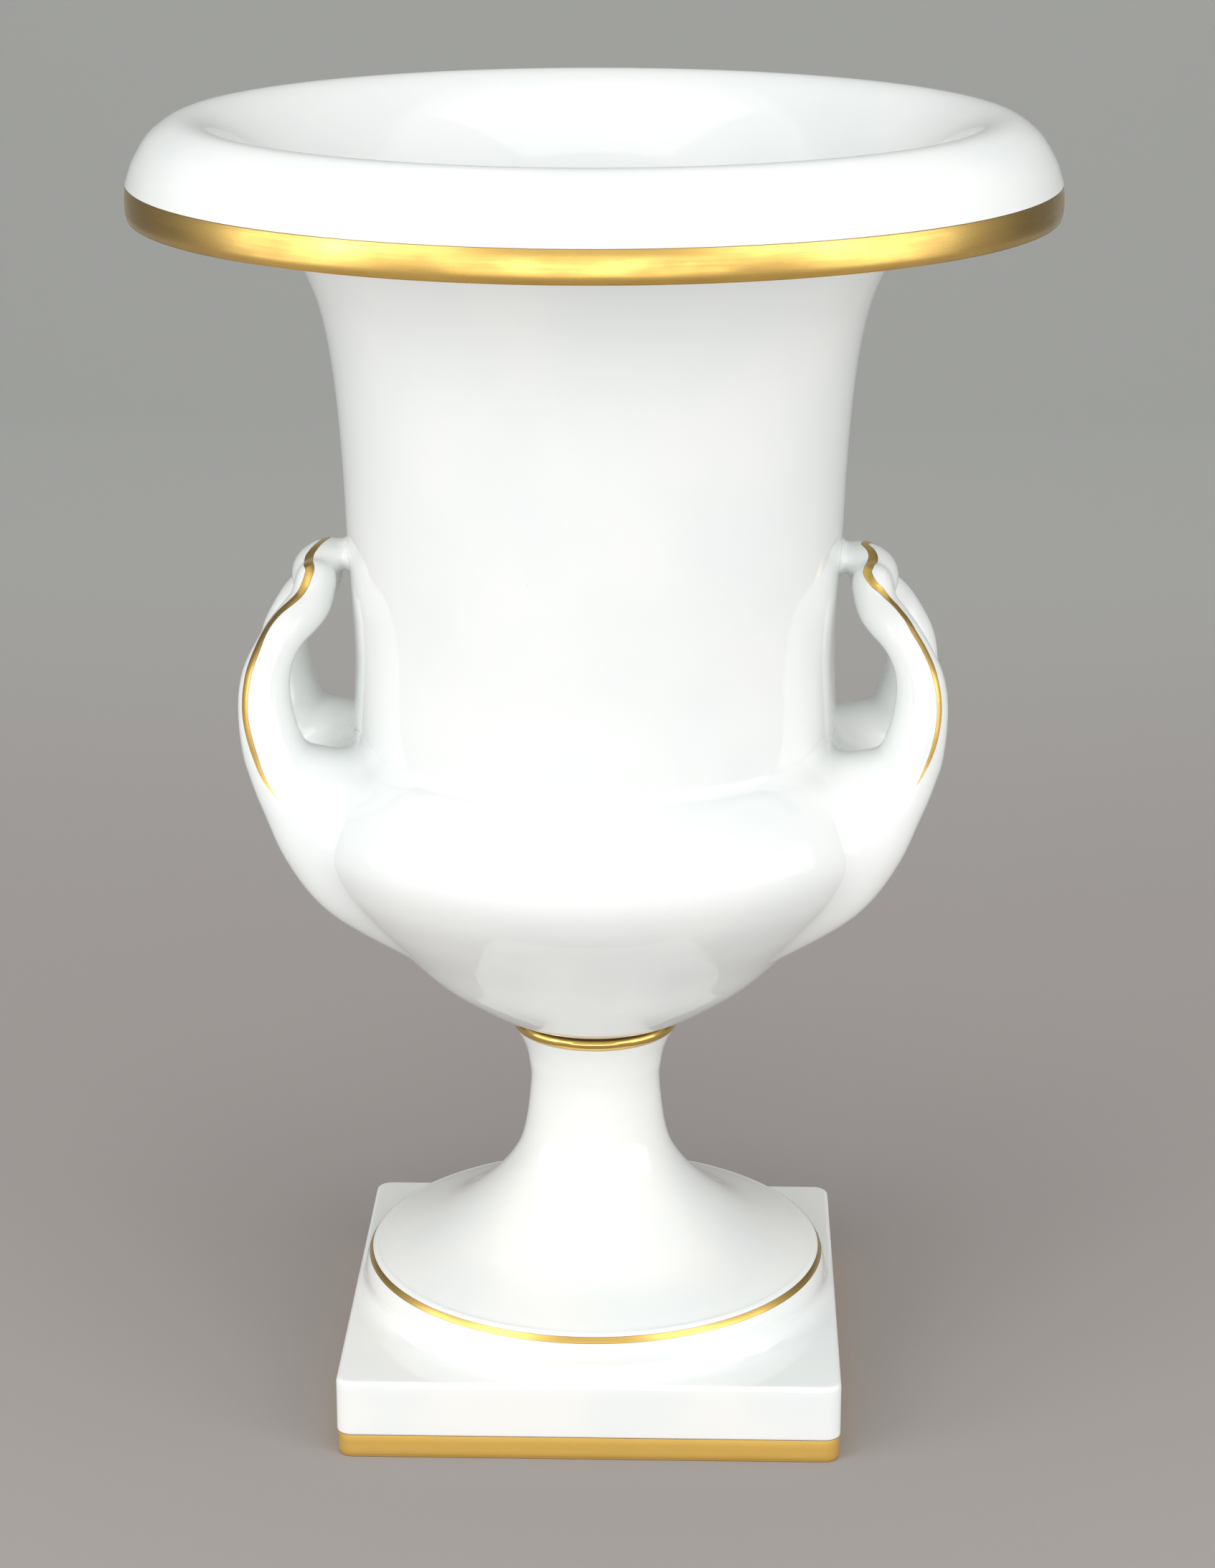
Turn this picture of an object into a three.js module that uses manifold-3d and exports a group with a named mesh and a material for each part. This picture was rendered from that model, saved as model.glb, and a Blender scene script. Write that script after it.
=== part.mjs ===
// A white porcelain krater in the campana form: a flared bell with a rolled lip on a
// swelling bowl, two upturned wishbone handles, and a trumpet foot on a square plinth.
// A threaded rod inside the stem draws the bowl and the foot together.
// Millimetres, +Z up, origin at the middle of the plinth's underside.
import * as THREE from 'three';
import { mergeVertices } from 'three/addons/utils/BufferGeometryUtils.js';
import Module from 'manifold-3d';

// Heights, from the table up
const PLINTH_HEIGHT = 30.3;
const DISC_HEIGHT = 14.2;
const STEM_HEIGHT = 92.4;
const COLLAR_HEIGHT = 5.6;
const BOWL_HEIGHT = 109.9;
const BELL_HEIGHT = 228.4;

// Widths
const PLINTH_SIDE = 186;
const PLINTH_EDGE = 1.8;
const PLINTH_CORNER = 6;
const DISC_MARGIN = 3.8;
const STEM_WAIST = 24.6;
const COLLAR_RADIUS = 31.5;
const COLLAR_NECK = 1.1;
const BOWL_FOOT_RADIUS = 32.6;
const BOWL_RADIUS = 111.3;
const CREASE_RADIUS = 89.2;
const LIP_RADIUS = 166.4;
const LIP_DROP = 34;
const LIP_EDGE = 8.6;

// Porcelain walls
const BELL_WALL = 5.6;
const BOWL_WALL = 6;
const BOWL_FLOOR = 10.8;
const FOOT_WALL = 6.3;
const FOOT_WEB = 10.5;
const PLINTH_WALL = 8;
const PLINTH_ROOF = 5.5;

// Gilded bands
const LIP_BAND = 11.8;
const PLINTH_BAND = 8.9;
const PLINTH_RECESS = 0.3;
const FOOT_LINE = 2.6;
const LINE_TILT = 58;
const GILT = 0.6;
const GILT_GAP = 0.1;
const GILT_PROUD = 0.3;

// The tie rod and what it clamps
const ROD_RADIUS = 4;
const ROD_PROUD = 3;
const ROD_CHAMFER = 0.8;
const ROD_CLEARANCE = 0.5;
const NUT_FLATS = 13;
const NUT_HEIGHT = 6.5;
const NUT_CLEARANCE = 0.3;
const WASHER_RADIUS = 13;
const WASHER_THICKNESS = 2;
const CUSHION_RADIUS = 15.5;
const PACKING = 3;
const COLLAR_BORE = 12;
const CORK_GAP = 0.3;
const LEDGE_BORE = 50;
const LEDGE_WIDTH = 12;
const PLATE_THICKNESS = 3;

// The handles
const HANDLE_RISE = 74.4;
const GRIP_WIDTH = 21;
const ARM_THICKNESS = 19.6;
const ARM_WIDTH = 23;
const ARM_SPREAD = 33;
const LOBE_HALF = 68;
const LOBE_RELIEF = 7;
const LOBE_DEPTH = 7;
const FLANK_RELIEF = 8;
const HANDLE_GAP = 0.3;

// Facets round a turned piece and round a small one
const TURN_STEPS = 36;
const SMALL_STEPS = 20;

// How far a cutting tool runs past what it cuts
const WASTE = 1;

const DISC_RADIUS = PLINTH_SIDE / 2 - DISC_MARGIN;
const DISC_TOP = PLINTH_HEIGHT + DISC_HEIGHT;
const STEM_TOP = DISC_TOP + STEM_HEIGHT;
const BOWL_BASE = STEM_TOP + COLLAR_HEIGHT;
const CREASE = BOWL_BASE + BOWL_HEIGHT;
const TOP = CREASE + BELL_HEIGHT;
const BORE = ROD_RADIUS + ROD_CLEARANCE;
const GILT_SEAT = GILT + GILT_GAP - GILT_PROUD;

const wasm = await Module();
wasm.setup();

// Booleans on closed geometries
function toSolid(geometry) {
  const bare = geometry.index ? geometry.toNonIndexed() : geometry.clone();
  bare.deleteAttribute('normal');
  bare.deleteAttribute('uv');
  const merged = mergeVertices(bare, 1e-4);
  return new wasm.Manifold(new wasm.Mesh({
    numProp: 3,
    vertProperties: new Float32Array(merged.attributes.position.array),
    triVerts: new Uint32Array(merged.index.array),
  }));
}

function toGeometry(solid) {
  const mesh = solid.getMesh();
  const geometry = new THREE.BufferGeometry();
  geometry.setAttribute('position', new THREE.BufferAttribute(new Float32Array(mesh.vertProperties), 3));
  geometry.setIndex(new THREE.BufferAttribute(new Uint32Array(mesh.triVerts), 1));
  geometry.computeVertexNormals();
  return geometry;
}

// A profile of [radius, height] pairs, closed or ending on the axis, turned about Z
function turned(profile, steps = TURN_STEPS) {
  const area = profile.reduce((sum, [r, z], i) => {
    const [nextR, nextZ] = profile[(i + 1) % profile.length];
    return sum + r * nextZ - nextR * z;
  }, 0);
  const ordered = area > 0 ? profile : [...profile].reverse();
  const onAxis = profile.some(([r]) => r === 0);
  const points = ordered.map(([r, z]) => new THREE.Vector2(r, z));
  if (!onAxis) points.push(points[0].clone());
  const lathe = new THREE.LatheGeometry(points, steps);
  lathe.rotateX(Math.PI / 2);
  return lathe;
}

function ring(inner, outer, bottom, height, steps = SMALL_STEPS) {
  const top = bottom + height;
  return turned([[inner, bottom], [outer, bottom], [outer, top], [inner, top]], steps);
}

function smooth(points, count) {
  const curve = new THREE.SplineCurve(points.map(([r, z]) => new THREE.Vector2(r, z)));
  return curve.getPoints(count).map((p) => [p.x, p.y]);
}

// The inner side of a wall, from the outer side going up
function inwards(profile, wall) {
  return profile.map(([r, z], i) => {
    const [r0, z0] = profile[Math.max(i - 1, 0)];
    const [r1, z1] = profile[Math.min(i + 1, profile.length - 1)];
    const length = Math.hypot(r1 - r0, z1 - z0);
    return [r - (wall * (z1 - z0)) / length, z + (wall * (r1 - r0)) / length];
  });
}

function radiusAt(profile, z) {
  for (let i = 0; i < profile.length - 1; i += 1) {
    const [r0, z0] = profile[i];
    const [r1, z1] = profile[i + 1];
    if (z >= z0 && z <= z1) return r0 + ((r1 - r0) * (z - z0)) / (z1 - z0);
  }
  return z < profile[0][1] ? profile[0][0] : profile[profile.length - 1][0];
}

// Closed skin over rings of points that all have the same count
function loft(rings) {
  const positions = rings.flat().flatMap((p) => [p.x, p.y, p.z]);
  const count = rings[0].length;
  const index = [];
  for (let i = 0; i < rings.length - 1; i += 1) {
    for (let j = 0; j < count; j += 1) {
      const a = i * count + j;
      const b = i * count + ((j + 1) % count);
      index.push(a, b, a + count, b, b + count, a + count);
    }
  }
  const last = (rings.length - 1) * count;
  for (let j = 1; j < count - 1; j += 1) {
    index.push(0, j + 1, j);
    index.push(last, last + j, last + j + 1);
  }
  const geometry = new THREE.BufferGeometry();
  geometry.setAttribute('position', new THREE.Float32BufferAttribute(positions, 3));
  geometry.setIndex(index);
  return geometry;
}

function outwards(geometry) {
  const solid = toSolid(geometry);
  if (solid.volume() > 0) return solid;
  const flipped = geometry.clone();
  const order = Array.from(flipped.index.array);
  for (let i = 0; i < order.length; i += 3) {
    [order[i], order[i + 1]] = [order[i + 1], order[i]];
  }
  flipped.setIndex(order);
  return toSolid(flipped);
}

// Places on the vase: a height as a share of the bell, of the bowl going down, of the
// stem or of the disc's side, and a radius as a share of the way from the crease out
// to the lip
const onBell = (share) => CREASE + BELL_HEIGHT * share;
const onBowl = (share) => CREASE - BOWL_HEIGHT * share;
const onStem = (share) => DISC_TOP + STEM_HEIGHT * share;
const onDisc = (share) => PLINTH_HEIGHT + DISC_HEIGHT * share;
const flare = (share) => CREASE_RADIUS + (LIP_RADIUS - CREASE_RADIUS) * share;

const bellSide = smooth([
  [CREASE_RADIUS - 0.4, CREASE],
  [CREASE_RADIUS, onBell(0.053)],
  [CREASE_RADIUS - 0.6, onBell(0.158)],
  [CREASE_RADIUS + 1.3, onBell(0.324)],
  [CREASE_RADIUS + 2.8, onBell(0.473)],
  [CREASE_RADIUS + 5.4, onBell(0.604)],
  [flare(0.122), onBell(0.7)],
  [flare(0.2), onBell(0.77)],
], 9);

const bowlSide = smooth([
  [BOWL_FOOT_RADIUS, BOWL_BASE],
  [BOWL_FOOT_RADIUS + 11.2, onBowl(0.947)],
  [BOWL_FOOT_RADIUS + 29.6, onBowl(0.83)],
  [BOWL_RADIUS - 33, onBowl(0.685)],
  [BOWL_RADIUS - 16.5, onBowl(0.535)],
  [BOWL_RADIUS - 4.6, onBowl(0.398)],
  [BOWL_RADIUS, onBowl(0.271)],
  [BOWL_RADIUS - 4.6, onBowl(0.14)],
  [CREASE_RADIUS + 6.5, onBowl(0.04)],
  [CREASE_RADIUS + 0.2, CREASE],
], 14);

// The foot's side, with a straight seat for the gold line on the disc's shoulder
const lineOut = Math.cos(THREE.MathUtils.degToRad(LINE_TILT));
const lineUp = Math.sin(THREE.MathUtils.degToRad(LINE_TILT));
const lineBottom = [DISC_RADIUS - 1.5, DISC_TOP];
const lineTop = [lineBottom[0] - FOOT_LINE * lineOut, DISC_TOP + FOOT_LINE * lineUp];
const footSide = [
  ...smooth([
    [DISC_RADIUS, onDisc(0.52)],
    [DISC_RADIUS - 0.3, onDisc(0.74)],
    lineBottom,
  ], 3),
  ...smooth([
    lineTop,
    [DISC_RADIUS - 4.6, onStem(0.0345)],
    [DISC_RADIUS - 12, onStem(0.058)],
    [DISC_RADIUS - 28, onStem(0.128)],
    [STEM_WAIST + 19, onStem(0.268)],
    [STEM_WAIST + 7.8, onStem(0.407)],
    [STEM_WAIST + 2.6, onStem(0.538)],
    [STEM_WAIST, onStem(0.751)],
    [STEM_WAIST + 0.7, onStem(0.85)],
    [STEM_WAIST + 1.9, onStem(0.91)],
    [COLLAR_RADIUS - 3.2, onStem(0.957)],
    [COLLAR_RADIUS - 1.1, STEM_TOP],
  ], 15),
];

const bandRadius = LIP_RADIUS - GILT_SEAT;
const bandBottom = TOP - LIP_DROP;
const bandTop = bandBottom + LIP_BAND;

// The bell: a thin trumpet whose lip rolls over and down to the gilded edge
function bell() {
  const underside = smooth([
    [flare(0.2), onBell(0.77)],
    [flare(0.3), onBell(0.836)],
    [flare(0.456), onBell(0.899)],
    [flare(0.65), onBell(0.941)],
    [flare(0.793), onBell(0.93)],
    [flare(0.864), onBell(0.891)],
    [LIP_RADIUS - LIP_EDGE, bandBottom],
  ], 6).slice(1);
  const roll = smooth([
    [bandRadius, bandTop],
    [flare(0.956), onBell(0.937)],
    [flare(0.878), onBell(0.975)],
    [flare(0.749), TOP],
    [flare(0.593), onBell(0.989)],
    [flare(0.399), onBell(0.943)],
    [flare(0.251), onBell(0.891)],
    [flare(0.155), onBell(0.838)],
    [flare(0.085), onBell(0.77)],
  ], 12);
  const throat = inwards(bellSide, BELL_WALL).slice(0, -2).reverse();
  return turned([...bellSide, ...underside, [bandRadius, bandBottom], ...roll, ...throat]);
}

function rimGilding() {
  const inner = bandRadius + GILT_GAP;
  const outer = inner + GILT;
  const bottom = bandBottom + GILT_GAP;
  const top = bandTop - GILT_GAP;
  return turned([
    [inner, bottom],
    [outer, bottom],
    [outer + GILT_PROUD, (bottom + top) / 2],
    [outer, top],
    [inner, top],
  ]);
}

// The bowl: thrown round, with a flat clamping pad and a hole at the bottom
const floorTop = BOWL_BASE + BOWL_FLOOR;

function bowl() {
  const inside = inwards(bowlSide, BOWL_WALL)
    .filter(([r, z]) => r > CUSHION_RADIUS + PACKING && z > floorTop && z < CREASE - BOWL_WALL)
    .reverse();
  return turned([
    [BORE, BOWL_BASE],
    ...bowlSide,
    [CREASE_RADIUS - BELL_WALL, CREASE],
    ...inside,
    [CUSHION_RADIUS + PACKING, floorTop],
    [BORE, floorTop],
  ]);
}

// The foot: a hollow trumpet that spreads to a disc and runs out into a square plinth
function slab(side, corner, bottom, top, bevel = 0) {
  const half = side / 2 - bevel;
  const arc = corner - bevel;
  const straight = half - arc;
  const shape = new THREE.Shape();
  shape.moveTo(straight, -half);
  shape.absarc(straight, -straight, arc, -Math.PI / 2, 0, false);
  shape.absarc(straight, straight, arc, 0, Math.PI / 2, false);
  shape.absarc(-straight, straight, arc, Math.PI / 2, Math.PI, false);
  shape.absarc(-straight, -straight, arc, Math.PI, Math.PI * 1.5, false);
  const geometry = new THREE.ExtrudeGeometry(shape, {
    depth: top - bottom - bevel,
    bevelEnabled: bevel > 0,
    bevelSize: bevel,
    bevelThickness: bevel,
    bevelSegments: 4,
    curveSegments: 3,
  });
  geometry.translate(0, 0, bottom);
  return toSolid(geometry);
}

const plinthLedge = PLINTH_HEIGHT - PLINTH_ROOF;
const plinthSeat = PLINTH_RECESS + GILT + GILT_GAP;
const seatSide = PLINTH_SIDE - 2 * plinthSeat;
const seatCorner = PLINTH_CORNER - plinthSeat;

function pedestal() {
  const outside = PLINTH_SIDE + 2 * WASTE;
  const block = slab(PLINTH_SIDE, PLINTH_CORNER, 0, PLINTH_HEIGHT, PLINTH_EDGE)
    .subtract(slab(outside, PLINTH_CORNER, -PLINTH_EDGE - WASTE, 0));
  const skirtBottom = PLINTH_HEIGHT - 2 * PLINTH_EDGE;
  const skirt = smooth([
    [DISC_RADIUS + DISC_MARGIN - PLINTH_EDGE / 2, PLINTH_HEIGHT - PLINTH_EDGE / 4],
    [DISC_RADIUS + DISC_MARGIN * 0.5, onDisc(0.08)],
    [DISC_RADIUS + DISC_MARGIN * 0.2, onDisc(0.21)],
    footSide[0],
  ], 4).slice(0, -1);
  const trumpet = turned([
    [0, skirtBottom], [DISC_RADIUS, skirtBottom], ...skirt, ...footSide, [0, STEM_TOP],
  ]);
  const recess = slab(outside, PLINTH_CORNER, -WASTE, PLINTH_BAND + GILT_GAP)
    .subtract(slab(seatSide, seatCorner, -2 * WASTE, PLINTH_BAND + WASTE));
  const web = STEM_TOP - FOOT_WEB;
  const core = STEM_WAIST - FOOT_WALL;
  const hollow = smooth([
    [LEDGE_BORE, onStem(-0.028)],
    [LEDGE_BORE - 9, onStem(0.086)],
    [core + 13.8, onStem(0.233)],
    [core + 6, onStem(0.386)],
    [core + 1, onStem(0.581)],
    [core, web],
  ], 5);
  const cavity = turned([[0, plinthLedge - WASTE], [LEDGE_BORE, plinthLedge - WASTE], ...hollow, [0, web]]);
  const tray = slab(PLINTH_SIDE - 2 * PLINTH_WALL, PLINTH_CORNER, -WASTE, plinthLedge);
  const hole = turned([[0, plinthLedge], [BORE, plinthLedge], [BORE, STEM_TOP + WASTE], [0, STEM_TOP + WASTE]],
    SMALL_STEPS);
  return toGeometry(block.add(toSolid(trumpet)).subtract(recess)
    .subtract(toSolid(cavity)).subtract(tray).subtract(toSolid(hole)));
}

function plinthGilding() {
  const inner = seatSide + 2 * GILT_GAP;
  const outer = slab(inner + 2 * GILT, seatCorner + GILT, GILT_GAP, PLINTH_BAND);
  return toGeometry(outer.subtract(slab(inner, seatCorner, -WASTE, PLINTH_BAND + WASTE)));
}

// A fine line laid on its seat round the disc's shoulder
function footGilding() {
  const lifted = ([r, z], lift) => [r + lift * lineUp, z + lift * lineOut];
  return turned([
    lifted(lineBottom, GILT_GAP),
    lifted(lineBottom, GILT_GAP + GILT),
    lifted(lineTop, GILT_GAP + GILT),
    lifted(lineTop, GILT_GAP),
  ]);
}

function collar() {
  const bead = (COLLAR_HEIGHT - COLLAR_NECK) / 2;
  const middle = STEM_TOP + bead;
  const steps = 3;
  const side = Array.from({ length: steps + 1 }, (_, i) => {
    const angle = Math.PI * (i / steps - 0.5);
    return [COLLAR_RADIUS - bead + bead * Math.cos(angle), middle + bead * Math.sin(angle)];
  });
  return turned([[COLLAR_BORE, STEM_TOP], ...side, [COLLAR_RADIUS - bead, BOWL_BASE], [COLLAR_BORE, BOWL_BASE]]);
}

// A handle is a wishbone: two arms rise from a broad lobe on the bowl, lean in and end
// in round knuckles, and a crown rises between these and bends over to the bell.
// Places out are given as shares of an arm's thickness in from the arms' outermost
// middle line, and as shares of the bowl's or the crease's radius.
const onHandle = (share) => CREASE + HANDLE_RISE * share;
const armHalf = ARM_THICKNESS / 2;
const armX = CREASE_RADIUS + GRIP_WIDTH + armHalf;
const inFromArm = (share) => armX - ARM_THICKNESS * share;
const inFromBowl = (share) => BOWL_RADIUS * (1 - share);
const outFromCrease = (share) => CREASE_RADIUS * (1 + share);

// A limb through stations of: place out, share of the spread, height, and shares of
// the arm's half thickness and half width
function limb(stations, spread, steps) {
  const path = new THREE.CatmullRomCurve3(stations.map(([x, y, z]) => new THREE.Vector3(x, y * spread, z)));
  const eased = (column, t) => {
    const place = t * (stations.length - 1);
    const low = Math.min(Math.floor(place), stations.length - 2);
    const part = place - low;
    const weight = part * part * (3 - 2 * part);
    return stations[low][column] * (1 - weight) + stations[low + 1][column] * weight;
  };
  const sides = 12;
  const rings = Array.from({ length: steps + 1 }, (_, i) => {
    const t = i / steps;
    const centre = path.getPoint(t);
    const along = path.getTangent(t);
    const across = new THREE.Vector3(0, 1, 0).addScaledVector(along, -along.y).normalize();
    const outward = new THREE.Vector3().crossVectors(across, along).normalize();
    const thick = eased(3, t) * armHalf;
    const wide = (eased(4, t) * ARM_WIDTH) / 2;
    return Array.from({ length: sides }, (_unused, j) => {
      const angle = (2 * Math.PI * j) / sides;
      return centre.clone()
        .addScaledVector(outward, thick * Math.cos(angle))
        .addScaledVector(across, wide * Math.sin(angle));
    });
  });
  return outwards(loft(rings));
}

function arm(spread) {
  return limb([
    [inFromArm(1), 0.4, onHandle(0.917), 0.22, 0.22],
    [inFromArm(0.99), 0.41, onHandle(0.885), 0.62, 0.62],
    [inFromArm(0.964), 0.42, onHandle(0.823), 0.78, 0.78],
    [inFromArm(0.862), 0.53, onHandle(0.721), 0.8, 0.84],
    [inFromArm(0.668), 0.68, onHandle(0.664), 0.81, 0.86],
    [inFromArm(0.434), 0.82, onHandle(0.6), 0.77, 0.87],
    [inFromArm(0.214), 0.89, onHandle(0.5), 0.8, 0.92],
    [inFromArm(0.077), 0.94, onHandle(0.392), 0.91, 0.96],
    [inFromArm(0.046), 0.97, onHandle(0.267), 1, 1],
    [inFromArm(0.112), 1, onHandle(0.128), 1.1, 1.08],
    [inFromArm(0.245), 1.02, onHandle(0.007), 1.2, 1.18],
    [inFromBowl(0.004), 1.06, onBowl(0.075), 1.34, 1.35],
    [inFromBowl(0.052), 1.12, onBowl(0.15), 1.5, 1.55],
    [inFromBowl(0.119), 1.18, onBowl(0.268), 1.66, 1.7],
    [inFromBowl(0.218), 1.16, onBowl(0.413), 1.6, 1.66],
    [inFromBowl(0.389), 0.98, onBowl(0.567), 1.4, 1.4],
  ], spread, 16);
}

// The saddle that runs from an arm's foot to the crease
function root(spread) {
  return limb([
    [inFromArm(0.051), 0.97, onHandle(0.15), 1, 1],
    [inFromArm(0.24), 1, onBowl(0.005), 1.2, 1.2],
    [inFromArm(0.612), 1.01, onBowl(0.072), 1.36, 1.42],
    [outFromCrease(0.087), 0.98, onBowl(0.103), 1.42, 1.55],
    [outFromCrease(-0.058), 0.92, onBowl(0.12), 1.46, 1.5],
  ], spread, 5);
}

function crown() {
  return limb([
    [inFromArm(0.785), 0, onHandle(0.655), 0.16, 0.3],
    [inFromArm(0.796), 0, onHandle(0.69), 0.48, 0.92],
    [inFromArm(0.826), 0, onHandle(0.755), 0.79, 1.38],
    [inFromArm(0.918), 0, onHandle(0.829), 0.96, 1.5],
    [inFromArm(1.133), 0, onHandle(0.89), 0.76, 1.16],
    [outFromCrease(0.038), 0, onHandle(0.91), 0.53, 0.85],
    [outFromCrease(-0.008), 0, onHandle(0.912), 0.47, 0.8],
    [outFromCrease(-0.058), 0, onHandle(0.912), 0.47, 0.8],
  ], 0, 9);
}

// The lobe: a low swelling on the bowl that rises into a flank outside each arm. Rows:
// height, share of the reach, share of the relief, share of the flank's relief
function lobe() {
  const rows = [
    [onBowl(0.67), 0.42, 0.05, 0],
    [onBowl(0.607), 0.56, 0.4, 0],
    [onBowl(0.543), 0.7, 0.62, 0.04],
    [onBowl(0.48), 0.82, 0.72, 0.1],
    [onBowl(0.408), 0.93, 0.78, 0.2],
    [onBowl(0.317), 1, 0.9, 0.35],
    [onBowl(0.236), 1.02, 0.95, 0.55],
    [onBowl(0.163), 1.02, 0.9, 0.82],
    [onBowl(0.1), 1, 0.7, 1],
    [onBowl(0.045), 0.98, 0.4, 0.94],
  ];
  const across = 14;
  const back = 5;
  const flankPlace = ARM_SPREAD * 1.11;
  const flankWidth = ARM_SPREAD * 0.49;
  return outwards(loft(rows.map(([z, reach, relief, flank]) => {
    const r = radiusAt(bowlSide, z);
    const half = Math.asin(Math.min((LOBE_HALF * reach) / r, 0.92));
    const point = (radius, t) => new THREE.Vector3(radius * Math.cos(half * t), radius * Math.sin(half * t), z);
    const front = Array.from({ length: across + 1 }, (_, j) => {
      const t = (2 * j) / across - 1;
      const off = (Math.abs(r * Math.sin(half * t)) - flankPlace) / flankWidth;
      const lift = WASTE * (2 * Math.min(2 * relief, 1) * (1 - t ** 6) - 1);
      const swell = (LOBE_RELIEF - WASTE) * relief * (1 - Math.abs(t) ** 2.4) ** 1.6
        + FLANK_RELIEF * flank * Math.exp(-off * off) * (1 - t ** 4) ** 2;
      return point(r + lift + swell, t);
    });
    const rear = Array.from({ length: back + 1 }, (_, j) => point(r - LOBE_DEPTH, 1 - (2 * j) / back));
    return [...front, ...rear];
  })));
}

function handle() {
  const clear = ([r, z]) => [r + HANDLE_GAP, z];
  const vessel = turned([
    [0, BOWL_BASE],
    ...bowlSide.map(clear),
    ...bellSide.slice(1).map(clear),
    [0, onBell(0.77)],
  ]);
  const whole = lobe()
    .add(arm(-ARM_SPREAD)).add(arm(ARM_SPREAD))
    .add(root(-ARM_SPREAD)).add(root(ARM_SPREAD))
    .add(crown())
    .subtract(toSolid(vessel));
  return whole.decompose().sort((a, b) => b.volume() - a.volume())[0];
}

// Fastenings
function nut(bottom) {
  const shape = new THREE.Shape();
  const corner = NUT_FLATS / Math.sqrt(3);
  shape.moveTo(corner, 0);
  for (let i = 1; i < 6; i += 1) {
    const angle = (Math.PI * i) / 3;
    shape.lineTo(corner * Math.cos(angle), corner * Math.sin(angle));
  }
  const hole = new THREE.Path();
  hole.absarc(0, 0, ROD_RADIUS + NUT_CLEARANCE, 0, Math.PI * 2, true);
  shape.holes.push(hole);
  const geometry = new THREE.ExtrudeGeometry(shape, { depth: NUT_HEIGHT, bevelEnabled: false, curveSegments: 8 });
  geometry.translate(0, 0, bottom);
  return geometry;
}

const topWasher = floorTop + PACKING;
const topNut = topWasher + WASHER_THICKNESS;
const plate = plinthLedge - PACKING - PLATE_THICKNESS;
const bottomWasher = plate - WASHER_THICKNESS;
const bottomNut = bottomWasher - NUT_HEIGHT;
const plateRadius = LEDGE_BORE + LEDGE_WIDTH;

function rod() {
  const bottom = bottomNut - ROD_PROUD;
  const top = topNut + NUT_HEIGHT + ROD_PROUD;
  const tip = ROD_RADIUS - ROD_CHAMFER;
  return turned([
    [0, bottom],
    [tip, bottom],
    [ROD_RADIUS, bottom + ROD_CHAMFER],
    [ROD_RADIUS, top - ROD_CHAMFER],
    [tip, top],
    [0, top],
  ], SMALL_STEPS);
}

// Finishes
const finish = (color, roughness, metalness) => () => (
  new THREE.MeshStandardMaterial({ color, roughness, metalness })
);
const porcelain = finish(0xf7f8f6, 0.12, 0);
const gold = finish(0xd0a54a, 0.3, 1);
const brass = finish(0xb8924a, 0.35, 1);
const steel = finish(0x8d8f92, 0.4, 1);
const cork = finish(0x9a6f48, 0.9, 0);
const felt = finish(0x4a5a48, 0.95, 0);

const krater = new THREE.Group();
krater.name = 'krater';

function place(name, geometry, material) {
  const mesh = new THREE.Mesh(geometry, material());
  mesh.name = name;
  krater.add(mesh);
}

place('flared_bell', bell(), porcelain);
place('rim_gilding', rimGilding(), gold);
place('bowl', bowl(), porcelain);

const handleSolid = handle();
place('right_handle', toGeometry(handleSolid), porcelain);
place('left_handle', toGeometry(handleSolid.rotate([0, 0, 180])), porcelain);

place('gilt_collar', collar(), gold);
place('foot_and_plinth', pedestal(), porcelain);
place('foot_line_gilding', footGilding(), gold);
place('plinth_gilding', plinthGilding(), gold);

place('joint_cork', ring(BORE, COLLAR_BORE - CORK_GAP, STEM_TOP, COLLAR_HEIGHT), cork);
place('tie_rod', rod(), steel);
place('top_cushion', ring(BORE, CUSHION_RADIUS, floorTop, PACKING), cork);
place('top_washer', ring(BORE, WASHER_RADIUS, topWasher, WASHER_THICKNESS), brass);
place('top_nut', nut(topNut), brass);
place('bottom_felt_ring', ring(LEDGE_BORE, plateRadius, plate + PLATE_THICKNESS, PACKING, TURN_STEPS), felt);
place('bottom_plate', ring(BORE, plateRadius, plate, PLATE_THICKNESS, TURN_STEPS), steel);
place('bottom_washer', ring(BORE, WASHER_RADIUS, bottomWasher, WASHER_THICKNESS), brass);
place('bottom_nut', nut(bottomNut), brass);

export default krater;
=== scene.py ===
"""A white porcelain krater in the campana form, with gilded bands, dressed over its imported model."""

import math
from bisect import bisect

import bmesh
import bpy
from mathutils import Matrix, Vector
from mathutils.bvhtree import BVHTree


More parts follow.
